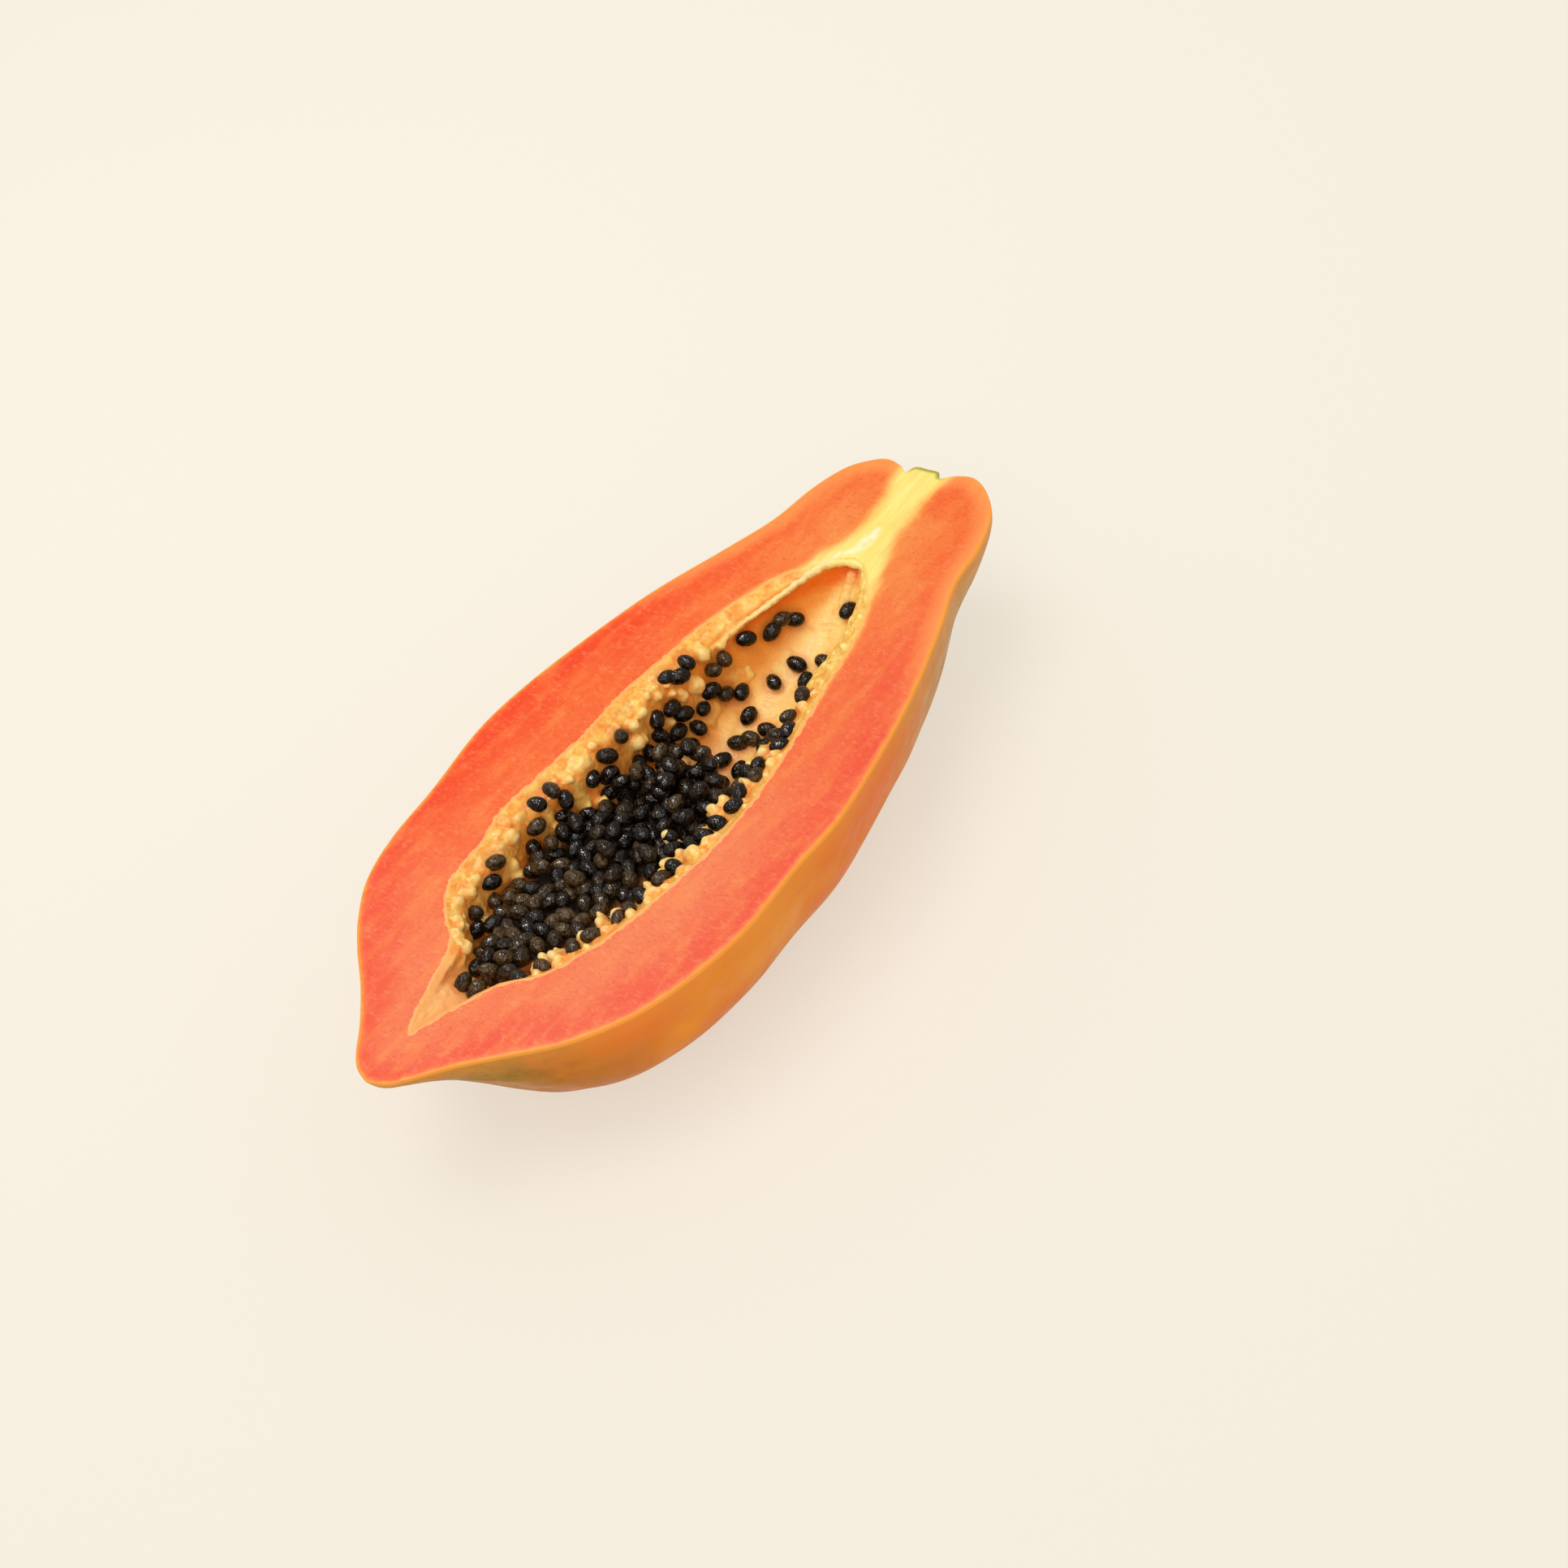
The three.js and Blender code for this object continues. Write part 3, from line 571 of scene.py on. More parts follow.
# The pale vessel on the inner ridge of the left ledge: x, y, z and half thickness.
RIDGE_VESSEL = [
    (95.4, 0.0, -0.5, 0.3), (93.6, 2.1, -0.5, 0.34), (91.2, 3.6, -0.6, 0.36), (88.6, 4.9, -0.8, 0.36),
    (85.9, 6.0, -1.0, 0.36), (82.9, 7.0, -1.4, 0.36), (80.2, 8.1, -1.7, 0.34), (77.5, 9.2, -2.0, 0.34),
    (74.1, 10.0, -2.2, 0.34), (72.1, 10.5, -2.3, 0.32), (66.4, 12.3, -2.7, 0.3), (60.1, 14.2, -2.9, 0.3),
    (52.8, 15.8, -3.1, 0.28), (46.3, 17.2, -3.3, 0.25),
]
# The rounded lip below it: x, y, z and half thickness.
RIDGE_LIP = [
    (45.0, 18.3, -4.2, 0.9), (52.8, 16.9, -4.1, 1.1), (60.1, 15.3, -3.8, 1.1), (66.4, 13.5, -3.5, 1.1),
    (72.1, 11.6, -3.1, 1.15), (77.5, 10.0, -2.7, 1.2), (80.2, 9.0, -2.4, 1.3), (82.9, 7.9, -2.0, 1.4),
    (85.9, 6.3, -1.8, 1.5), (88.4, 4.5, -1.6, 1.5), (90.5, 2.2, -1.5, 1.5), (91.7, -0.4, -1.5, 1.5),
    (92.3, -3.4, -1.4, 1.3), (92.0, -6.2, -1.2, 1.1),
]


def pulp_numbers(spots):
    """For the pulp's finish: height over the smooth lining, and how much a spot belongs to the
    ledge, to the painted shade below it and in the niches, to the lip of the arch, to the yellow
    right side, to the pale vessel, and to the wet stain and painted shade round each seed."""
    x, y, z = spots.T
    middle, half = hollow_at(x)
    across = (y - middle) / np.maximum(half, 1.0)
    upright = lining_normal(x, y, SOFT)[:, 2]
    height = (z - lining_below(x, y, SOFT)[:, 2]) * np.clip(upright, 0.1, 1)
    ledge = np.maximum(smooth_step(across, 0.7, 0.8), smooth_step(across, -0.5, -0.62))
    yellow = smooth_step(x, 36, 62) * smooth_step(across, -0.05, -0.4)
    # The wall below the left ledge, where the finish lays painted shade.
    below = smooth_step(across, 0.36, 0.66) * (1 - smooth_step(across, 0.76, 0.86))
    below *= smooth_step(x, -94, -80)
    # Niches under the left ridge and under the arch, where the finish lays painted shade.
    niche = smooth_step(x, 40, 56) * smooth_step(across, 0.4, 0.62)
    niche *= smooth_step(-z, 2.6 + 0.6 * np.sin(x), 4.2)
    lip = np.zeros(len(spots))
    near_stalk = x > STALK_SIDE
    end_x, end_y, end_z = spots[near_stalk].T
    edge_gap = distance_to(spots[near_stalk, :2], hollow_loop)
    closing = smooth_step(end_x, STALK_SIDE + 12, STALK_SIDE + 22)
    lip[near_stalk] = closing * smooth_step(edge_gap, 2.6, 0.9) * smooth_step(-end_z, 2.2, 0.8)
    under_arch = closing * smooth_step(-end_z, 1.6, 2.8) * smooth_step(end_y, -7.5, -3.5)
    niche[near_stalk] = np.maximum(niche[near_stalk], under_arch)
    niche *= smooth_step(-z, 9.5, 5.5) * smooth_step(height, 0.9, 0.3)
    # A wet stain and painted contact shade round each seed.
    stain_and_shade = np.zeros(len(spots))
    for seed, _, _ in fixed_seeds:
        gap = np.linalg.norm(spots - seed, axis=1)
        stain_and_shade = np.maximum(stain_and_shade, smooth_step(gap, STAIN_AND_SHADE_REACH, SEED_WIDTH / 2))
    vessel = np.zeros(len(spots))
    close = (x > 44) & (y > -2) & (z > -6)
    nearest = np.full(close.sum(), np.inf)
    for *place, thickness in smooth_rows(RIDGE_VESSEL, 8):
        gap = np.linalg.norm(spots[close] - place - (0, 0, VESSEL_SHOWS), axis=1)
        nearest = np.minimum(nearest, gap - thickness)
    vessel[close] = smooth_step(nearest, 0.7, 0.1) * smooth_step(x[close], 40, 80)
    return dict(height=height, ledge=ledge, below=below, niche=niche, yellow=yellow, lip=lip,
                vessel=vessel, stain_and_shade=stain_and_shade)


fruit_numbers = dict(rim_gap=rim_gap, hollow_gap=hollow_gap, core=core, streak_gap=gap_to(WHITE_STREAK),
                     slit_gap=gap_to(STREAK_SLIT), dimple=np.zeros(len(all_points)),
                     **pulp_numbers(all_points))


def rgb(red, green, blue):
    """A colour from screen values of 0 to 255."""
    shares = [value / 255 for value in (red, green, blue)]
    return (*[((c + 0.055) / 1.055) ** 2.4 if c > 0.04045 else c / 12.92 for c in shares], 1)


class Recipe:
    """Node building for one finish. Its colour is laid in coats, one over the other."""

    def __init__(self, name):
        self.material, self.tree, self.shader = plain_material(name)
        self.place = self.node("ShaderNodeTexCoord").outputs["Object"]
        self.colour = None

    def node(self, kind, **values):
        return add_node(self.tree, kind, **values)

    def directions(self):
        """Place along the fruit, to its left and upwards, in metres."""
        return self.node("ShaderNodeSeparateXYZ", Vector=self.place).outputs

    def number(self, label):
        return self.node("ShaderNodeAttribute", attribute_name=label).outputs["Fac"]

    def noise(self, size_mm, detail=2.0, rough=0.5, stretch=None, shift=0.0, twist=0.0):
        where = self.place
        if stretch:
            where = self.node("ShaderNodeMapping", Vector=where, Scale=stretch).outputs["Vector"]
        return self.node("ShaderNodeTexNoise", noise_dimensions="4D", Vector=where, W=shift,
                         Scale=1000 / size_mm, Detail=detail, Roughness=rough,
                         Distortion=twist).outputs["Fac"]

    def cells(self, size_mm):
        made = self.node("ShaderNodeTexVoronoi", Vector=self.place, Scale=1000 / size_mm)
        return made.outputs["Distance"]

    def ramp(self, value, low, high, top=1.0, bottom=0.0):
        """Soft change from bottom at low to top at high."""
        return self.node("ShaderNodeMapRange", interpolation_type="SMOOTHSTEP", Value=value, From_Min=low,
                         From_Max=high, To_Min=bottom, To_Max=top).outputs["Result"]

    def maths(self, operation, a, b):
        made = self.node("ShaderNodeMath", operation=operation)
        feed(self.tree, made.inputs[0], a)
        feed(self.tree, made.inputs[1], b)
        return made.outputs[0]

    def plus(self, a, b):
        return self.maths("ADD", a, b)

    def times(self, a, b):
        return self.maths("MULTIPLY", a, b)

    def mix(self, share, a, b):
        """A mixed colour. Each of the two is an output or three screen values."""
        made = self.node("ShaderNodeMix", data_type="RGBA")
        for name, value in (("Factor", share), ("A", a), ("B", b)):
            entry = next(s for s in made.inputs if s.name == name and s.enabled)
            feed(self.tree, entry, rgb(*value) if isinstance(value, tuple) else value)
        return next(s for s in made.outputs if s.enabled)

    def lay(self, share, *tone):
        """Covers a share of the colour so far with a tone: three screen values or an output."""
        self.colour = self.mix(share, self.colour, tone if len(tone) == 3 else tone[0])

    def bump(self, height, distance_mm, strength=1.0, below=None):
        return self.node("ShaderNodeBump", Strength=strength, Distance=distance_mm / 1000, Height=height,
                         Normal=below).outputs["Normal"]

    def finish(self, **settings):
        set_node(self.tree, self.shader, Base_Color=self.colour, **settings)
        return self.material


# Skin: waxy, ochre orange, gold and blushed on the belly, with green streaks that run from the
# blossom end, a dusty ochre and green neck, fine freckles, a few brown scars and painted shade low
# on the belly. Sizes of noise are in millimetres, and places along, sideways and up in metres.
r = Recipe("papaya_skin")
along, sideways, up = r.directions()
rim_gap = r.number("rim_gap")
LENGTHWISE = (0.16, 1.0, 1.0)
cloud = r.noise(38, 3, 0.55)
streaks = r.noise(11, 4, 0.6, LENGTHWISE, 3.0, 0.4)
fine_streaks = r.noise(2.6, 3, 0.6, LENGTHWISE, 9.0)
gold = r.mix(r.ramp(cloud, 0.35, 0.68), (226, 118, 14), (238, 144, 20))
r.colour = r.mix(r.ramp(r.noise(46, 2, 0.5, None, 5.0), 0.5, 0.68, 0.75), gold, (236, 106, 22))
low_green = r.times(r.ramp(streaks, 0.46, 0.64), r.ramp(up, 0.03, 0.006, 0.35))
blossom_green = r.times(r.ramp(streaks, 0.3, 0.6, 0.85, 0.45), r.ramp(along, -0.08, -0.114))
green = r.mix(r.ramp(fine_streaks, 0.3, 0.7), (104, 94, 10), (140, 116, 16))
r.lay(r.maths("MAXIMUM", low_green, blossom_green), green)
stalk = r.ramp(along, 0.045, 0.1)
r.lay(r.times(stalk, 0.8), r.mix(r.ramp(streaks, 0.42, 0.58), (198, 142, 66), (126, 118, 46)))
dusty_from = r.plus(along, r.ramp(cloud, 0.3, 0.7, 0.02, -0.02))
dusty = r.times(r.ramp(dusty_from, 0.01, 0.08, 0.75), r.ramp(sideways, -0.015, -0.035))
r.lay(dusty, r.mix(r.ramp(fine_streaks, 0.3, 0.7), (208, 148, 78), (176, 136, 74)))
freckles = r.times(r.ramp(r.cells(1.9), 0.16, 0.05), r.ramp(r.noise(17, 3, 0.6, None, 2.0), 0.48, 0.62))
r.lay(r.times(freckles, 0.45), 120, 84, 30)
scars = r.plus(r.noise(3.2, 4, 0.7, LENGTHWISE, 21.0, 1.2), r.times(stalk, 0.07))
r.lay(r.ramp(scars, 0.68, 0.74, 0.75), 86, 66, 24)
# Painted shade: the skin is darker low on the belly, more so on the right side.
painted_low_shade = r.times(r.ramp(up, 0.04, 0.012, 0.6), r.ramp(sideways, 0.0, -0.03, 1.0, 0.4))
r.lay(r.times(painted_low_shade, r.ramp(cloud, 0.3, 0.6, 1.0, 0.6)), 148, 90, 18)
belly_edge = r.times(r.ramp(up, 0.052, 0.038, 0.5), r.ramp(along, -0.104, -0.09))
r.lay(r.times(belly_edge, r.ramp(along, -0.066, -0.088)), 160, 94, 30)
r.lay(r.ramp(rim_gap, 12.0, 1.0, 0.45), 244, 154, 72)
r.lay(r.ramp(rim_gap, 1.6, 0.5, 0.7), 253, 168, 72)
pores = r.bump(r.noise(0.9, 3, 0.6), 0.05, 0.6)
wax = r.ramp(r.noise(6, 3, 0.6, None, 4.0), 0.3, 0.7, 0.5, 0.34)
skin_finish = r.finish(
    Normal=r.bump(r.noise(4.5, 3, 0.55), 0.22, 0.7, pores), Roughness=wax,
    Subsurface_Weight=0.12, Subsurface_Scale=0.0015, Subsurface_Radius=(1.0, 0.45, 0.15),
    Specular_IOR_Level=0.08, Coat_Weight=0.03, Coat_Roughness=0.3)

# Flesh: moist, deepest red under the peel, lighter and more orange beside the hollow and at the
# stalk shoulders, pinker on the right, with a fine grain and a yellow line under the peel.
r = Recipe("papaya_flesh")
along, sideways, _ = r.directions()
rim_gap = r.number("rim_gap")
hollow_gap = r.number("hollow_gap")
inwards = r.maths("DIVIDE", rim_gap, r.plus(rim_gap, hollow_gap))
inwards = r.ramp(r.plus(inwards, r.ramp(r.noise(14, 4, 0.6), 0.3, 0.7, 0.11, -0.11)), 0.08, 0.8)
left_flesh = r.mix(inwards, (236, 64, 8), (237, 97, 36))
right_inner = r.mix(r.ramp(along, -0.03, 0.03), (236, 120, 74), (236, 104, 54))
right_flesh = r.mix(inwards, (235, 84, 52), right_inner)
right_side = r.ramp(sideways, 0.0, -0.035)
pinker = r.maths("MAXIMUM", right_side, r.ramp(along, -0.03, -0.1, 0.75))
r.colour = r.mix(pinker, left_flesh, right_flesh)
r.lay(r.ramp(along, 0.05, 0.115, 0.9), r.mix(inwards, (237, 104, 42), (238, 142, 66)))
GRAIN_WAY = (1.0, 0.6, 1.0)
mottle = r.noise(2.6, 4, 0.7, GRAIN_WAY, 2.0, 0.15)
r.lay(r.ramp(mottle, 0.5, 0.75, 0.24), 243, 154, 94)
r.lay(r.ramp(mottle, 0.46, 0.28, 0.24), 234, 70, 24)
r.lay(r.ramp(r.noise(1.0, 4, 0.68, GRAIN_WAY, 6.0), 0.52, 0.7, 0.6), 212, 58, 28)
r.lay(r.ramp(r.noise(1.2, 3, 0.6, GRAIN_WAY, 16.0), 0.52, 0.7, 0.26), 244, 162, 108)
r.lay(r.times(r.ramp(rim_gap, 8.0, 1.5, 0.6), r.ramp(along, 0.03, 0.08)), 252, 160, 84)
ragged = r.plus(rim_gap, r.ramp(r.noise(4.0, 2), 0.3, 0.7, 0.25, -0.25))
r.lay(r.ramp(ragged, 2.6, 0.6, 0.4), r.mix(right_side, (254, 140, 54), (255, 162, 92)))
r.lay(r.ramp(ragged, 1.3, 0.3, 0.9), 255, 158, 52)
r.lay(r.times(r.ramp(along, 0.02, 0.06), r.ramp(hollow_gap, 2.6, 0.4, 0.6)), 255, 180, 84)
torn = r.noise(3.0, 3, 0.55, (1.0, 0.75, 1.0), 5.0)
border = r.plus(hollow_gap, r.ramp(torn, 0.3, 0.7, 0.5, -0.4))
r.lay(r.ramp(border, 1.2, 0.7, 0.75), 255, 188, 112)
r.lay(r.ramp(border, 0.7, 0.2, 0.8), 253, 172, 90)

# The core is pale yellow with white vessels, and green where the stalk broke off.
core = r.number("core")
core_wave = r.plus(core, r.ramp(r.noise(5, 3, 0.6, (0.3, 1, 1)), 0.3, 0.7, 0.16, -0.16))
core_lines = r.ramp(r.noise(2.2, 3, 0.6, (0.1, 1, 1), 4.0), 0.25, 0.75)
core_yellow = r.mix(core_lines, (252, 214, 104), (253, 232, 142))
frayed = r.ramp(r.noise(2.6, 4, 0.65, (0.4, 1, 1), 31.0), 0.3, 0.7, 0.9, -0.9)
white = r.ramp(r.plus(r.number("streak_gap"), frayed), 1.9, -0.5, 0.9)
core_yellow = r.mix(white, core_yellow, (255, 244, 212))
core_yellow = r.mix(r.ramp(r.number("slit_gap"), 0.7, 0.1, 0.6), core_yellow, (212, 192, 180))
r.lay(r.ramp(core_wave, -0.1, 0.6, 0.6), 253, 178, 84)
r.lay(r.ramp(core_wave, 0.15, 1.0), core_yellow)
stub_green = r.times(r.ramp(along, 0.1275, 0.1325), r.ramp(rim_gap, 2.0, 0.3))
r.lay(r.times(stub_green, r.ramp(core, 0.5, 0.9)), 142, 158, 48)
grain = r.bump(r.noise(0.8, 4, 0.65, GRAIN_WAY), 0.12, 0.9)
flesh_finish = r.finish(
    Normal=r.bump(mottle, 0.2, 0.7, grain),
    Roughness=r.ramp(r.noise(2.2, 3, 0.6, None, 8.0), 0.3, 0.7, 0.5, 0.36),
    Subsurface_Weight=0.2, Subsurface_Scale=0.0018, Subsurface_Radius=(1.0, 0.35, 0.18),
    Specular_IOR_Level=0.2)

# Pulp: soft wet lining, peach on the walls and cream on the tips of its knobs. Orange painted shade
# lies in its dimples, below the ledge and in the niches, painted light on its bumps, and wet stain
# and painted shade round the seeds.
r = Recipe("papaya_pulp")
along, sideways, _ = r.directions()
tall = r.number("height")
dimple = r.number("dimple")
mottle = r.noise(2.4, 4, 0.65, None, 2.0, 0.4)
r.colour = r.mix(r.ramp(r.noise(7, 3, 0.6), 0.38, 0.62), (252, 172, 80), (255, 208, 112))
r.lay(r.ramp(along, 0.03, 0.06, 0.6), 255, 214, 120)
r.lay(r.ramp(mottle, 0.52, 0.72, 0.4), 255, 217, 122)
strands = r.noise(3.0, 5, 0.68, (1.0, 0.5, 0.8), 41.0, 0.5)
r.lay(r.ramp(strands, 0.53, 0.66, 0.5), 240, 146, 54)
stained = r.ramp(r.noise(9, 3, 0.6, None, 23.0), 0.48, 0.62, 0.55)
r.lay(r.times(stained, r.ramp(along, 0.06, 0.02)), 238, 140, 48)
groove = r.times(r.ramp(along, -0.082, -0.094), 0.8)
r.lay(groove, 255, 184, 116)
torn = r.noise(2.2, 4, 0.65, (1.0, 0.6, 0.8), 12.0, 0.3)
patches = r.noise(4.6, 4, 0.62, (0.8, 1.0, 1.0), 18.0)
band = r.mix(r.ramp(torn, 0.34, 0.64), (250, 152, 56), (255, 204, 98))
band = r.mix(r.ramp(patches, 0.52, 0.62, 0.7), band, (244, 132, 36))
band = r.mix(r.ramp(patches, 0.46, 0.36, 0.6), band, (255, 216, 130))
r.lay(r.times(r.number("ledge"), 0.9), r.mix(groove, band, (255, 178, 108)))
# Painted shade below the left ledge, deepest where the pulp lies low.
shade = r.mix(r.ramp(tall, 0.0, 0.7), (250, 140, 40), (255, 190, 92))
r.lay(r.times(r.number("below"), 0.8), shade)
# Painted shade in the niches under the ridge and the arch.
r.lay(r.times(r.number("niche"), r.ramp(mottle, 0.3, 0.62, 0.72, 0.96)), 244, 104, 12)
yellow = r.mix(r.ramp(torn, 0.36, 0.6), (255, 188, 78), (255, 222, 122))
r.lay(r.times(r.number("yellow"), r.ramp(mottle, 0.3, 0.55, 0.85, 0.4)), yellow)
cream = r.times(r.ramp(tall, 0.8, 2.8, 0.65), r.ramp(along, 0.066, 0.05, 1.0, 0.1))
cream_tip = r.mix(r.ramp(r.noise(2.4, 2, 0.5, None, 7.0), 0.4, 0.6), (255, 216, 124), (255, 192, 84))
r.lay(r.times(cream, r.ramp(sideways, 0.006, 0.02, 0.55, 1.0)), cream_tip)
# Wet stain and painted contact shade round each seed.
r.lay(r.ramp(r.number("stain_and_shade"), 0.05, 0.8, 0.45), 230, 120, 34)
# Painted shade: orange laid in the dimples of the pulp. Painted light: a pale tone laid on its bumps.
r.lay(r.ramp(dimple, 0.1, 0.6, 0.6), 246, 136, 44)
r.lay(r.ramp(dimple, -0.15, -0.6, 0.35), 255, 226, 164)
r.lay(r.times(r.number("lip"), 0.85), 255, 226, 124)
r.lay(r.times(r.number("vessel"), 0.75), 255, 228, 166)
pulp_grain = r.bump(r.noise(0.8, 3, 0.6), 0.12, 0.8)
pulp_finish = r.finish(
    Normal=r.bump(mottle, 0.3, 0.7, r.bump(strands, 0.5, 0.8, pulp_grain)),
    Roughness=r.ramp(r.noise(1.7, 2, 0.5, None, 8.0), 0.3, 0.7, 0.45, 0.25),
    Subsurface_Weight=0.4, Subsurface_Scale=0.0032, Subsurface_Radius=(1.0, 0.65, 0.35),
    Specular_IOR_Level=0.3)

fruit = piece_from("papaya_body", all_points, faces, (skin_finish, flesh_finish, pulp_finish),
                   finish_of_face, fruit_numbers)
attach(fruit, "root")
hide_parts("papaya_half")

# ---------------------------------------------------------------- knobs of pulp
# Soft cream knobs that the seeds grew on. They stand in rows along both ledges and between the
# seeds, grown together with the lining; here they are fused with each other and a band on each ledge.


def ball_mesh(fineness):
    """Corners and faces of a round ball of half size 1."""
    work = bmesh.new()
    bmesh.ops.create_icosphere(work, subdivisions=fineness, radius=1.0)
    corners = np.array([v.co[:] for v in work.verts])
    sides = [[v.index for v in f.verts] for f in work.faces]
    work.free()
    return corners, sides


lobe_draw = make_draw(53)
ball, ball_faces = ball_mesh(2)
lobe_points = []
lobe_faces = []
LOBE_TIP = 0.22  # how much thicker a finger's tip is
ANY_WAY = np.array([1.0, 0.3, 0.2])


def add_lobe(at, along_axis, length, width):
    """A rounded finger of pulp, thicker at its tip, that stands along the given axis."""
    axis = along_axis / np.linalg.norm(along_axis)
    side = np.cross(axis, (0.3, 0.8, 0.5))
    side /= np.linalg.norm(side)
    other = np.cross(axis, side)
    first = sum(len(p) for p in lobe_points)
    u, v, w = ball.T[..., None]
    lobe_points.append(at + (u * side + v * other) * width * (1 + LOBE_TIP * w) + w * axis * length)
    lobe_faces.extend([[first + c for c in side_ids] for side_ids in ball_faces])


def knob_way(x, y, inward, upward):
    """Direction of a knob that leans from its ledge towards the middle of the hollow."""
    to_middle = np.array([lobe_draw() - 0.5, -1.0 if y > hollow_at(x)[0] else 1.0, 0])
    return to_middle * inward + lining_normal(x, y, SOFT) * upward


for at, size in knobs:
    way = knob_way(at[0], at[1], 0.2 + 0.8 * lobe_draw(), 0.5 + 0.7 * lobe_draw())
    add_lobe(at, way, size * (0.85 + 0.6 * lobe_draw()), size * (0.6 + 0.35 * lobe_draw()))

# Smaller knobs between the big ones: first x, last x, spacing, place across, half width, length
# for the width, how far they lean inwards and stand up.
SMALL_KNOB_ROWS = [
    (-80, 36, 8.0, 0.86, 2.1, 1.1, 0.7, 0.6), (-78, 32, 6.0, 0.75, 2.0, 1.3, 0.6, 0.9),
    (-76, 24, 5.5, 0.6, 2.2, 1.2, 0.5, 1.0), (-74, 10, 6.5, 0.47, 2.3, 1.1, 0.4, 1.0),
    (-84, 42, 6.2, -0.93, 1.4, 1.3, 1.0, 0.35), (-83, 36, 6.2, -0.84, 1.8, 1.4, 0.9, 0.6),
    (-80, 26, 6.0, -0.74, 2.0, 1.4, 0.7, 0.9), (-76, 24, 8.0, -0.6, 2.0, 1.5, 0.5, 1.0),
    (44, 84, 6.0, -0.84, 1.0, 1.4, 0.9, 0.3), (-82, 50, 3.6, 0.81, 1.0, 1.2, 0.7, 0.7),
    (-80, 46, 4.2, 0.7, 0.95, 1.3, 0.7, 0.7), (30, 80, 4.2, -0.72, 0.95, 1.3, 0.7, 0.5),
]
ROW_WIDTH = 0.18  # how far the knobs of a row wander across the hollow
for x, last, spacing, across, width, longer, inward, upward in SMALL_KNOB_ROWS:
    while x < last:
        middle, half = hollow_at(x)
        y = middle + half * (across + ROW_WIDTH * (lobe_draw() - 0.5))
        own = width * (0.5 + 0.95 * lobe_draw())
        at = lining_below(x, y, SOFT)
        at[2] = min(at[2], -own * 0.8)
        way = knob_way(x, y, inward, upward)
        length = own * longer * (0.8 + 0.5 * lobe_draw())
        tip = at + way / np.linalg.norm(way) * length * 0.6
        if all(np.linalg.norm(seed - tip) > own * 0.6 + SEED_WIDTH / 2 for seed, _, _ in fixed_seeds):
            add_lobe(at, way, length, own)
        x += spacing * (0.55 + 0.9 * lobe_draw())

# Fingers of pulp that reach up between the seeds of the heap: tip, root and half width.
FINGERS = [
    ((-52.6, -15.4, -7.6), (-54.0, -20.5, -14.0), 2.4), ((-50.4, -13.6, -8.4), (-51.5, -19.0, -15.0), 1.7),
    ((-17.5, -12.3, -7.4), (-18.5, -19.0, -15.5), 2.2), ((-70.4, -8.2, -8.0), (-71.5, -14.5, -13.5), 1.9),
    ((-67.0, -11.2, -7.6), (-69.0, -16.0, -12.5), 1.8), ((1.2, -19.2, -7.6), (0.0, -23.0, -12.5), 1.9),
    ((9.9, -20.4, -7.8), (9.0, -23.5, -11.5), 1.8), ((-3.8, -15.4, -8.6), (-5.0, -20.5, -14.5), 1.6),
    ((17.6, -15.6, -11.0), (17.0, -20.0, -13.5), 1.9), ((24.5, -8.5, -22.0), (24.0, -10.5, -25.0), 1.9),
    ((-33.5, 17.0, -10.5), (-34.0, 21.0, -15.0), 1.9), ((-24.8, 17.8, -10.0), (-25.5, 22.5, -14.0), 2.4),
    ((-44.5, 16.6, -11.5), (-45.5, 21.0, -15.5), 2.3), ((-66.5, 14.5, -9.0), (-68.0, 18.0, -12.5), 1.9),
    ((-60.5, 12.2, -11.5), (-61.0, 16.5, -15.5), 1.6), ((-12.0, 16.0, -13.0), (-12.5, 20.0, -17.0), 2.0),
    ((-10.3, -27.8, -6.0), (-10.8, -30.5, -9.5), 2.2), ((8.3, -21.3, -6.4), (8.0, -25.5, -10.5), 2.1),
    ((-39.5, -22.0, -6.8), (-40.5, -26.0, -11.5), 2.3), ((-29.5, -20.8, -7.4), (-30.5, -25.5, -12.5), 2.4),
    ((-3.6, -18.6, -7.4), (-4.5, -24.0, -12.5), 2.2), ((-56.0, -21.5, -4.6), (-57.0, -25.0, -8.5), 2.1),
    ((-46.5, -21.6, -5.6), (-47.5, -26.0, -10.0), 2.2), ((-21.8, -20.7, -7.4), (-22.5, -26.0, -12.0), 2.0),
    ((-26.8, -18.6, -8.2), (-27.5, -24.0, -13.5), 1.7), ((-35.6, -19.6, -7.6), (-36.5, -24.5, -12.0), 1.7),
]
for tip, root, size in FINGERS:
    reach = np.array(tip) - np.array(root)
    add_lobe((np.array(tip) + np.array(root)) / 2, reach, np.linalg.norm(reach) / 2 + 0.8, size)

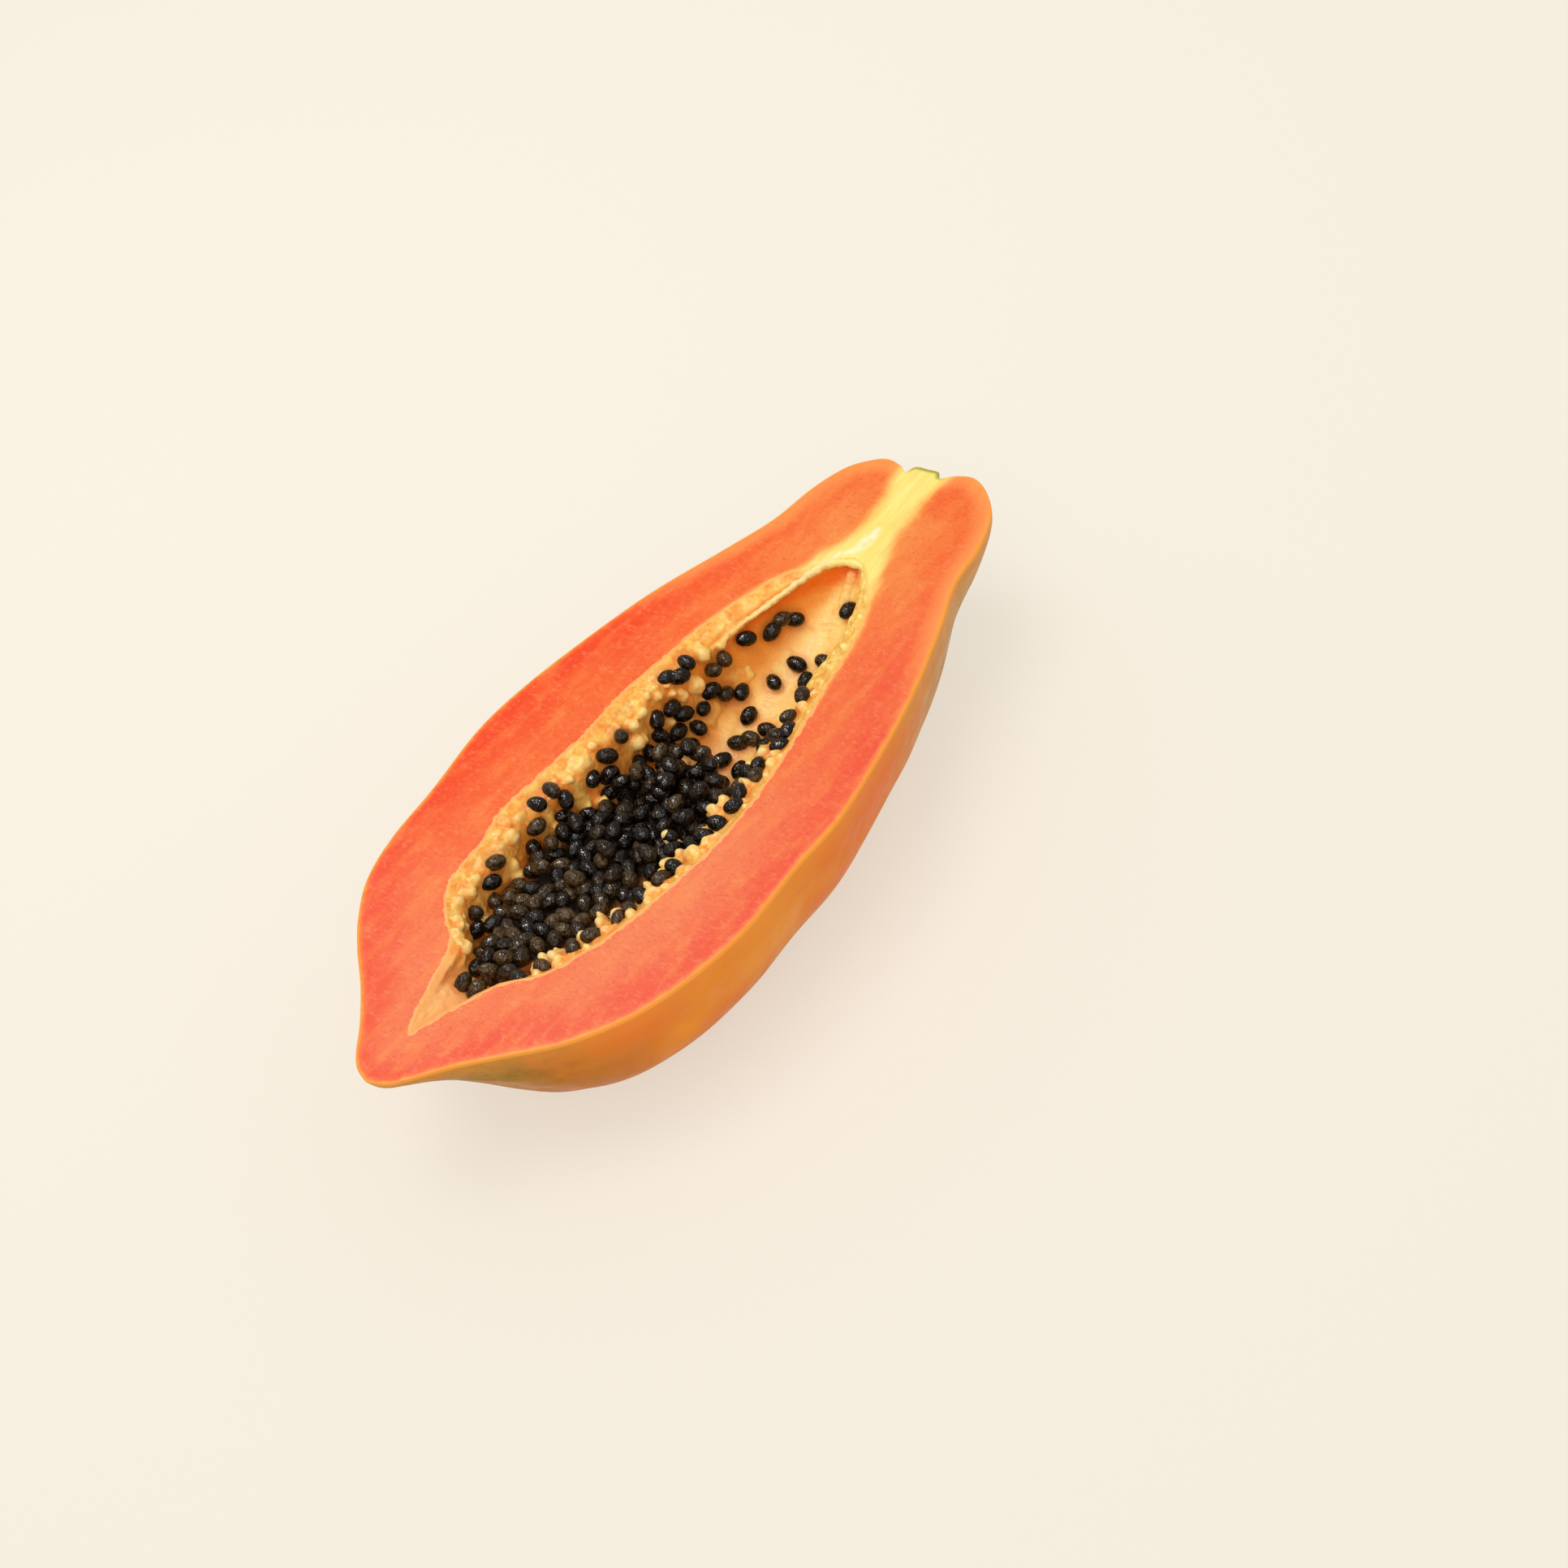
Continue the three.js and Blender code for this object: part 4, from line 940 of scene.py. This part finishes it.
# Folds of pulp round the stalk end of the hollow: half thickness, how far they stand out, then
# x and y of their points. One lines the arch and one runs down the end wall.
FOLDS = [
    (2.9, -0.62, [(91.6, -1.9), (90.8, -1.8), (89.4, -1.6), (87.6, -1.5), (85.0, -1.5), (81.0, -2.0)]),
    (2.6, -0.78, [(90.4, -6.4), (87.6, -8.6), (84.0, -11.0), (79.6, -13.4)]),
]
for thickness, stands, stations in FOLDS:
    fold = smooth_rows(stations, 8)
    waves = roughly(np.column_stack([fold, fold[:, 0] * 0]), 4.0, 2)
    ends = np.minimum(np.arange(len(fold)), np.arange(len(fold))[::-1]) / 10
    for (x, y), wave, end_share in zip(fold, waves, np.minimum(ends, 1)):
        at = lining_below(x, y, SOFT)
        own = thickness * (1 + 0.15 * wave) * (0.55 + 0.45 * end_share)
        at = at + lining_normal(x, y, SOFT) * own * stands
        at[2] = min(at[2], -own)
        add_lobe(at, ANY_WAY, own, own)

# The inner ridge of the left ledge: a rounded lip over the wall with a pale vessel along its top.
for line, wobble in ((RIDGE_LIP, 0.14), (RIDGE_VESSEL, 0.0)):
    for *place, thickness in smooth_rows(line, 12):
        own = thickness * (1 + wobble * math.sin(place[0] * 1.3 + 2 * math.sin(place[0] * 0.41)))
        add_lobe(np.array(place), ANY_WAY, own * 1.1, own)

# The skin of pulp that the knobs share: a thin band on each ledge, sunk in at its borders.
BAND_THICKNESS = 1.7
BAND_RISE, BAND_SINK = 0.1, 0.7  # over the lining in its middle, and below it at its borders
BAND_STEP, BAND_COLUMNS = 0.75, 22
BORDER_COLUMNS, BORDER_RINGS = 4, 13
LUMP_LENGTH, LUMP_WIDTH = 3.2, 4.4
noise.seed_set(5)  # for the bent borders of the lumps


def lump_heights(spots):
    """Height of soft lumps that crowd on the ledges, each as wide as it happens to have grown."""
    found = []
    for x, y, _ in spots.reshape(-1, 3):
        bent = noise.noise_vector(Vector((x / 4, y / 4, 0))) * 0.45
        near, cells = noise.voronoi(Vector((x / LUMP_LENGTH, y / LUMP_WIDTH, 0)) + bent)
        grown = 0.2 + 1.1 * noise.cell(cells[0] * 7.1)
        hill = 0.9 * noise.noise(Vector((x / 6.5, y / 4.5, 3.0)))
        found.append(float(smooth_step(near[1] - near[0], 0, 0.5)) * grown + hill)
    return np.array(found)


def slab_faces(rings, columns, first=0):
    """Faces of a closed slab between two grids of points, where the upper grid comes first."""
    under = rings * columns
    found = []
    for i in range(rings - 1):
        for j in range(columns - 1):
            a = first + i * columns + j
            c = a + columns
            found.append([a, a + 1, c + 1, c])
            found.append([a + under, c + under, c + under + 1, a + under + 1])
    for i in range(rings - 1):
        a = first + i * columns
        b = a + columns - 1
        found.append([a, a + columns, a + columns + under, a + under])
        found.append([b, b + under, b + columns + under, b + columns])
    for j in range(columns - 1):
        a = first + j
        b = a + under - columns
        found.append([a, a + under, a + under + 1, a + 1])
        found.append([b, b + 1, b + under + 1, b + under])
    return found


def border_share(count, width):
    """Rises from 0 at both ends of a row to 1 at the given width."""
    return np.minimum(np.arange(count), np.arange(count)[::-1]) / width


for from_across, to_across, last in ((0.985, 0.5, 62.1), (-0.985, -0.45, 87.1)):
    rings = np.arange(-82, last, BAND_STEP)
    spots = lining(rings[:, None], np.linspace(from_across, to_across, BAND_COLUMNS)[None], SOFT)
    normals = lining_normal(spots[..., 0], spots[..., 1], SOFT)
    end_share = border_share(len(rings), BORDER_RINGS)[:, None]
    rise = np.minimum(np.minimum(border_share(BAND_COLUMNS, BORDER_COLUMNS), end_share), 1)
    bumps = lump_heights(spots).reshape(rise.shape)
    upper = spots + normals * ((BAND_RISE + bumps) * rise - BAND_SINK * (1 - rise))[..., None]
    sheet = slab_faces(len(rings), BAND_COLUMNS, sum(len(p) for p in lobe_points))
    lobe_points += [upper.reshape(-1, 3), (spots - normals * BAND_THICKNESS).reshape(-1, 3)]
    lobe_faces += [face[::-1] for face in sheet] if to_across < 0 else sheet

# All of it is fused and softened, and gets its fine lumps.
FUSE_GRAIN = 0.00062  # metres
FINE_LUMPS = ((0.36, 2.3, 2, 0.0), (0.15, 0.9, 1, 4.0))  # height, size, octaves, shift


def read_all(items, label, width, kind=float):
    """One number or vector of all the vertices or edges of a mesh."""
    values = np.empty(len(items) * width, kind)
    items.foreach_get(label, values)
    return values.reshape(-1, width)


def with_modifiers(source):
    """The plain mesh that an object's modifiers make of it."""
    bpy.context.view_layer.update()
    return bpy.data.meshes.new_from_object(source.evaluated_get(bpy.context.evaluated_depsgraph_get()))


rough_pulp = piece_from("rough_pulp", np.concatenate(lobe_points), lobe_faces)
remesh = rough_pulp.modifiers.new("fuse", "REMESH")
remesh.mode = "VOXEL"
remesh.voxel_size = FUSE_GRAIN
remesh.use_smooth_shade = True
soften = rough_pulp.modifiers.new("soften", "SMOOTH")
soften.iterations = 4
soften.factor = 0.5
fused = with_modifiers(rough_pulp)
fused_points = read_all(fused.vertices, "co", 3) * 1000 - CUT_TO_MODEL
fused_normals = read_all(fused.vertices, "normal", 3)
uneven = sum(high * roughly(fused_points, *kind) for high, *kind in FINE_LUMPS)
fused_points += fused_normals * uneven[:, None]
fused_points[:, 2] = np.minimum(fused_points[:, 2], -0.05)

# Each seed has a nest: the pulp round it stays below its upper half.
NEST_REACH, NEST_LEVEL, NEST_DEPTH = 3.4, 0.3, 0.88
for seed, _, _ in fixed_seeds:
    outward = lining_normal(seed[0], seed[1], SOFT)
    away = fused_points - seed
    over = away @ outward
    aside = np.linalg.norm(away - over[:, None] * outward, axis=1)
    pressed = smooth_step(aside, NEST_REACH, SEED_WIDTH / 2) * (over < SEED_WIDTH)
    fused_points -= (pressed * NEST_DEPTH * np.maximum(over - NEST_LEVEL, 0))[:, None] * outward

# How deep each point lies in a dimple: its gap to the same skin when that is evened out. It sets
# where the pulp gets painted shade (dimples) and painted light (bumps).
EVEN_ROUNDS = 12
one_end, other_end = read_all(fused.edges, "vertices", 2, int).T
neighbours = np.bincount(np.concatenate([one_end, other_end]), minlength=len(fused_points))
neighbours = np.maximum(neighbours, 1)[:, None]
evened = fused_points.copy()
for _ in range(EVEN_ROUNDS):
    total = np.zeros_like(evened)
    np.add.at(total, one_end, evened[other_end])
    np.add.at(total, other_end, evened[one_end])
    evened = total / neighbours
dimple = ((evened - fused_points) * fused_normals).sum(1)
bpy.data.objects.remove(rough_pulp)
pulp_knobs = piece_from("pulp_knobs", fused_points, [list(p.vertices) for p in fused.polygons],
                        (pulp_finish,), None, {"dimple": dimple, **pulp_numbers(fused_points)})
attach(pulp_knobs, "root")
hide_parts("papaya_half")

# ---------------------------------------------------------------- seeds
# Black seeds the size of peppercorns, wrinkled like a raisin and wet from the clear sac round
# each. Single ones stick to the pulp, and the rest lie in a loose heap in the deep part.

# The heap, in millimetres and shares of the hollow's half width.
HEAP_FROM, HEAP_TO = -84, 16
HEAP_ACROSS, HEAP_REACH, HEAP_SHARE, HEAP_LEAST_DEPTH = 0.09, 0.56, 0.4, 8.5
HEAP_SLOPE_FROM, HEAP_SLOPE = -28, 0.42
HEAP_LIFT, HEAP_LEAST_THICKNESS = 1.6, 0.8
HEAP_SEEDS, HEAP_HIGHEST, HEAP_CHOICES, TRIES_PER_SEED = 130, -7.4, 5, 40
HEAP_TOUCH, HEAP_TILT, HEAP_ROOM = 0.92, 0.5, 0.4


def heap_place(along_heap, side):
    """The lining below a place of the heap, and the height of the bed there."""
    x = HEAP_FROM + (HEAP_TO - HEAP_FROM) * along_heap
    width = np.sqrt(np.maximum(1 - np.abs(2 * along_heap - 1) ** 3, 0))
    floor = lining(x, HEAP_ACROSS + side * HEAP_REACH * width)
    share = HEAP_SHARE + HEAP_SLOPE * smooth_step(x, HEAP_SLOPE_FROM, HEAP_TO)
    level = -np.maximum(share * hollow_at(x)[1], HEAP_LEAST_DEPTH)
    return floor, np.maximum(level, floor[..., 2] + HEAP_LIFT + HEAP_LEAST_THICKNESS)


heap_draw = make_draw(29)
TOUCH = SEED_WIDTH * HEAP_TOUCH
heap_places = np.zeros((0, 3))
heap_seeds = []  # place, turn and tilt
fixed_places = np.array([at for at, _ in beads])
fixed_halves = np.array([half for _, half in beads])
tries = 0
while len(heap_seeds) < HEAP_SEEDS and tries < TRIES_PER_SEED * HEAP_SEEDS:
    tries += 1
    best = None
    for _ in range(HEAP_CHOICES):
        floor, bed = heap_place(heap_draw(), 2 * heap_draw() - 1)
        at = np.array([floor[0], floor[1], float(bed) + SEED_WIDTH / 2 - SEED_SINK])
        reach = TOUCH ** 2 - (heap_places[:, 0] - at[0]) ** 2 - (heap_places[:, 1] - at[1]) ** 2
        touching = reach > 0
        if touching.any():
            at[2] = max(at[2], (heap_places[touching, 2] + np.sqrt(reach[touching])).max())
        if best is None or at[2] < best[2]:
            best = at
    turn = heap_draw() * math.pi
    tilt = HEAP_TILT * (2 * heap_draw() - 1)
    free = (np.linalg.norm(fixed_places - best, axis=1) > fixed_halves + SEED_LENGTH * HEAP_ROOM).all()
    if not free or best[2] >= HEAP_HIGHEST:
        continue
    around = SEED_LENGTH / 2 + GAP
    floors = [lining_below(best[0] + x * around, best[1] + y * around)[2]
              for x, y in ((1, 0), (-1, 0), (0, 1), (0, -1))]
    if max(floors) < best[2] - SEED_WIDTH * KNOB_ROOM:
        heap_seeds.append((best, turn, tilt))
        heap_places = np.vstack([heap_places, best])

# Seeds that lie half sunk in the bed wherever it would show between the others.
FILL_TRIES, FILL_SPACE, FILL_RISE = 1500, 4.0, 1.4
FILL_EDGE, FILL_REACH = 0.015, 0.97  # free at both ends, and how far across, as shares of the heap
fill_draw = make_draw(83)
taken = np.vstack([heap_places, [at for at, _, _ in fixed_seeds]])
for _ in range(FILL_TRIES):
    along_heap = FILL_EDGE + (1 - 2 * FILL_EDGE) * fill_draw()
    floor, bed = heap_place(along_heap, FILL_REACH * (2 * fill_draw() - 1))
    at = np.array([floor[0], floor[1], float(bed) + FILL_RISE])
    turn = fill_draw() * math.pi
    tilt = HEAP_TILT * (2 * fill_draw() - 1)
    if (np.linalg.norm(taken - at, axis=1) > FILL_SPACE).all():
        heap_seeds.append((at, turn, tilt))
        taken = np.vstack([taken, at])

WET_TINT = (1.0, 0.82, 0.66, 1)  # warm light off wet brown skins
r = Recipe("seed_coat")
murk = r.noise(1.3, 3, 0.6)
r.colour = r.mix(r.ramp(murk, 0.4, 0.65), (8, 4, 2), (26, 18, 11))
brown = r.mix(r.ramp(murk, 0.35, 0.65), (38, 26, 12), (96, 70, 36))
r.lay(r.ramp(r.number("tone"), 0.5, 1.1, 0.9), brown)
pebbles = r.ramp(r.cells(1.15), 0.75, 0.0)
seed_finish = r.finish(
    Normal=r.bump(r.noise(0.5, 2, 0.6), 0.06, 0.7, r.bump(pebbles, 0.3, 1.0)),
    Coat_Normal=r.bump(pebbles, 0.2, 0.9), Roughness=r.ramp(murk, 0.3, 0.7, 0.36, 0.22),
    Specular_IOR_Level=0.1, Specular_Tint=WET_TINT, Coat_Weight=0.5, Coat_Roughness=0.08,
    Coat_IOR=1.45)

# Kinds of seed: each a ball with its own few wrinkles and a blunter end.
KINDS = 12
WRINKLES, BLUNT = 0.055, 0.08
kind_store = bpy.data.collections.new("seed_kinds")
seed_ball, seed_ball_faces = ball_mesh(3)
for kind in range(KINDS):
    bumps = 0.5 * roughly(seed_ball, 0.55, 2, 13.0 * kind + 1) + roughly(seed_ball, 1.5, 1, 5.0 * kind + 3)
    shape = seed_ball * (1 + WRINKLES * bumps)[:, None]
    shape[:, 1:] *= 1 - BLUNT * seed_ball[:, :1] * (1 if kind % 2 else 0.4)
    shape *= np.array([SEED_LENGTH, SEED_WIDTH, SEED_WIDTH]) / 2000
    kind_mesh = bpy.data.meshes.new(f"seed_kind_{kind}")
    kind_mesh.from_pydata(shape.tolist(), [], seed_ball_faces)
    kind_object = bpy.data.objects.new(f"seed_kind_{kind}", kind_mesh)
    kind_store.objects.link(kind_object)

seed_tree = bpy.data.node_groups.new("lay_seeds", "GeometryNodeTree")
entries = seed_tree.interface
entries.new_socket("Geometry", in_out="INPUT", socket_type="NodeSocketGeometry")
kinds_entry = entries.new_socket("Kinds", in_out="INPUT", socket_type="NodeSocketCollection")
entries.new_socket("Geometry", in_out="OUTPUT", socket_type="NodeSocketGeometry")


def of_each(data_type, label):
    """A number or vector that each seed's place brings with it."""
    return add_node(seed_tree, "GeometryNodeInputNamedAttribute", data_type=data_type,
                    Name=label).outputs["Attribute"]


start = add_node(seed_tree, "NodeGroupInput").outputs
kinds_in = add_node(seed_tree, "GeometryNodeCollectionInfo", Collection=start["Kinds"],
                    Separate_Children=True, Reset_Children=True).outputs[0]
laid = add_node(seed_tree, "GeometryNodeInstanceOnPoints", Points=start["Geometry"], Instance=kinds_in,
                Pick_Instance=True, Instance_Index=of_each("INT", "kind"),
                Rotation=of_each("FLOAT_VECTOR", "turning"), Scale=of_each("FLOAT", "size"))
realized = add_node(seed_tree, "GeometryNodeRealizeInstances", Geometry=laid.outputs["Instances"])
dressed = add_node(seed_tree, "GeometryNodeSetMaterial", Geometry=realized.outputs["Geometry"],
                   Material=seed_finish)
add_node(seed_tree, "NodeGroupOutput", Geometry=dressed.outputs["Geometry"])


# Riper seeds near the blossom end have lost their black skin here and there.
BROWNER, BROWN_FROM, BROWN_TO = 0.45, 26, 62


def lay_seeds(name, seeds, draw):
    """One piece of seeds from their places, turns and tilts."""
    spots = bpy.data.meshes.new(name + "_places")
    spots.from_pydata([((at + CUT_TO_MODEL) / 1000).tolist() for at, _, _ in seeds], [], [])
    kinds, turnings, sizes, tones = [], [], [], []
    for at, turn, tilt in seeds:
        kinds.append(int(draw() * KINDS) % KINDS)
        turnings += [draw() * 2 * math.pi, tilt, turn]
        sizes.append(0.93 + 0.14 * draw())
        tones.append(draw() + BROWNER * smooth_step(-at[0], BROWN_FROM, BROWN_TO))
    for label, data_type, entry, values in (
            ("kind", "INT", "value", kinds), ("turning", "FLOAT_VECTOR", "vector", turnings),
            ("size", "FLOAT", "value", sizes), ("tone", "FLOAT", "value", tones)):
        spots.attributes.new(label, data_type, "POINT").data.foreach_set(entry, values)
    source = put(name + "_places", spots)
    modifier = source.modifiers.new("lay", "NODES")
    modifier.node_group = seed_tree
    modifier[kinds_entry.identifier] = kind_store
    source.update_tag()
    mesh = with_modifiers(source)
    mesh.name = name
    source.modifiers.remove(modifier)
    bpy.data.objects.remove(source)
    mesh.polygons.foreach_set("use_smooth", [True] * len(mesh.polygons))
    made = put(name, mesh)
    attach(made, "root")
    return made


look_draw = make_draw(71)
held_seeds = lay_seeds("held_seeds", fixed_seeds, look_draw)
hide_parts("papaya_half")
heap = lay_seeds("heap_seeds", heap_seeds, look_draw)
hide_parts("seed_heap")

# The bed of the heap: crushed sacs and juice, wet, that fills the gaps below the seeds. It is dark
# partly as painted shade between the seeds.
BED_RINGS, BED_COLUMNS = 91, 45
BED_LUMPS, BED_LUMP_SIZE, BED_RIM_DROP = 0.7, 3.0, 0.5
r = Recipe("heap_bed")
# Dark brown, partly painted shade between the seeds, and orange brown at the borders.
r.colour = r.mix(r.ramp(r.noise(2.5, 3, 0.6), 0.35, 0.7), (14, 9, 6), (40, 23, 11))
r.lay(r.ramp(r.number("border"), 0.72, 1.0, 0.8), 150, 76, 22)
bed_finish = r.finish(Normal=r.bump(r.noise(1.6, 3, 0.6), 0.8, 1.2), Roughness=0.6,
                      Specular_IOR_Level=0.15, Specular_Tint=WET_TINT)
bed_along, bed_side = np.broadcast_arrays(
    np.clip(np.linspace(0, 1, BED_RINGS), 0.01, 0.99)[:, None], np.linspace(1, -1, BED_COLUMNS)[None])
bottom, bed_level = heap_place(bed_along, bed_side)
top = bottom.copy()
top[..., 2] = bed_level
bottom[..., 2] += HEAP_LIFT
inward = smooth_step(1 - np.abs(bed_side), 0, 0.15)
inward = inward * smooth_step(np.minimum(bed_along, 1 - bed_along), 0.01, 0.06)
top[..., 2] += inward * (BED_LUMPS * roughly(top, BED_LUMP_SIZE).reshape(inward.shape) - BED_RIM_DROP)
heap_bed = piece_from("heap_bed", np.concatenate([top.reshape(-1, 3), bottom.reshape(-1, 3)]),
                      slab_faces(BED_RINGS, BED_COLUMNS), (bed_finish,), None,
                      {"border": np.tile(np.abs(bed_side).ravel(), 2)})
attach(heap_bed, "root")
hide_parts("seed_heap")
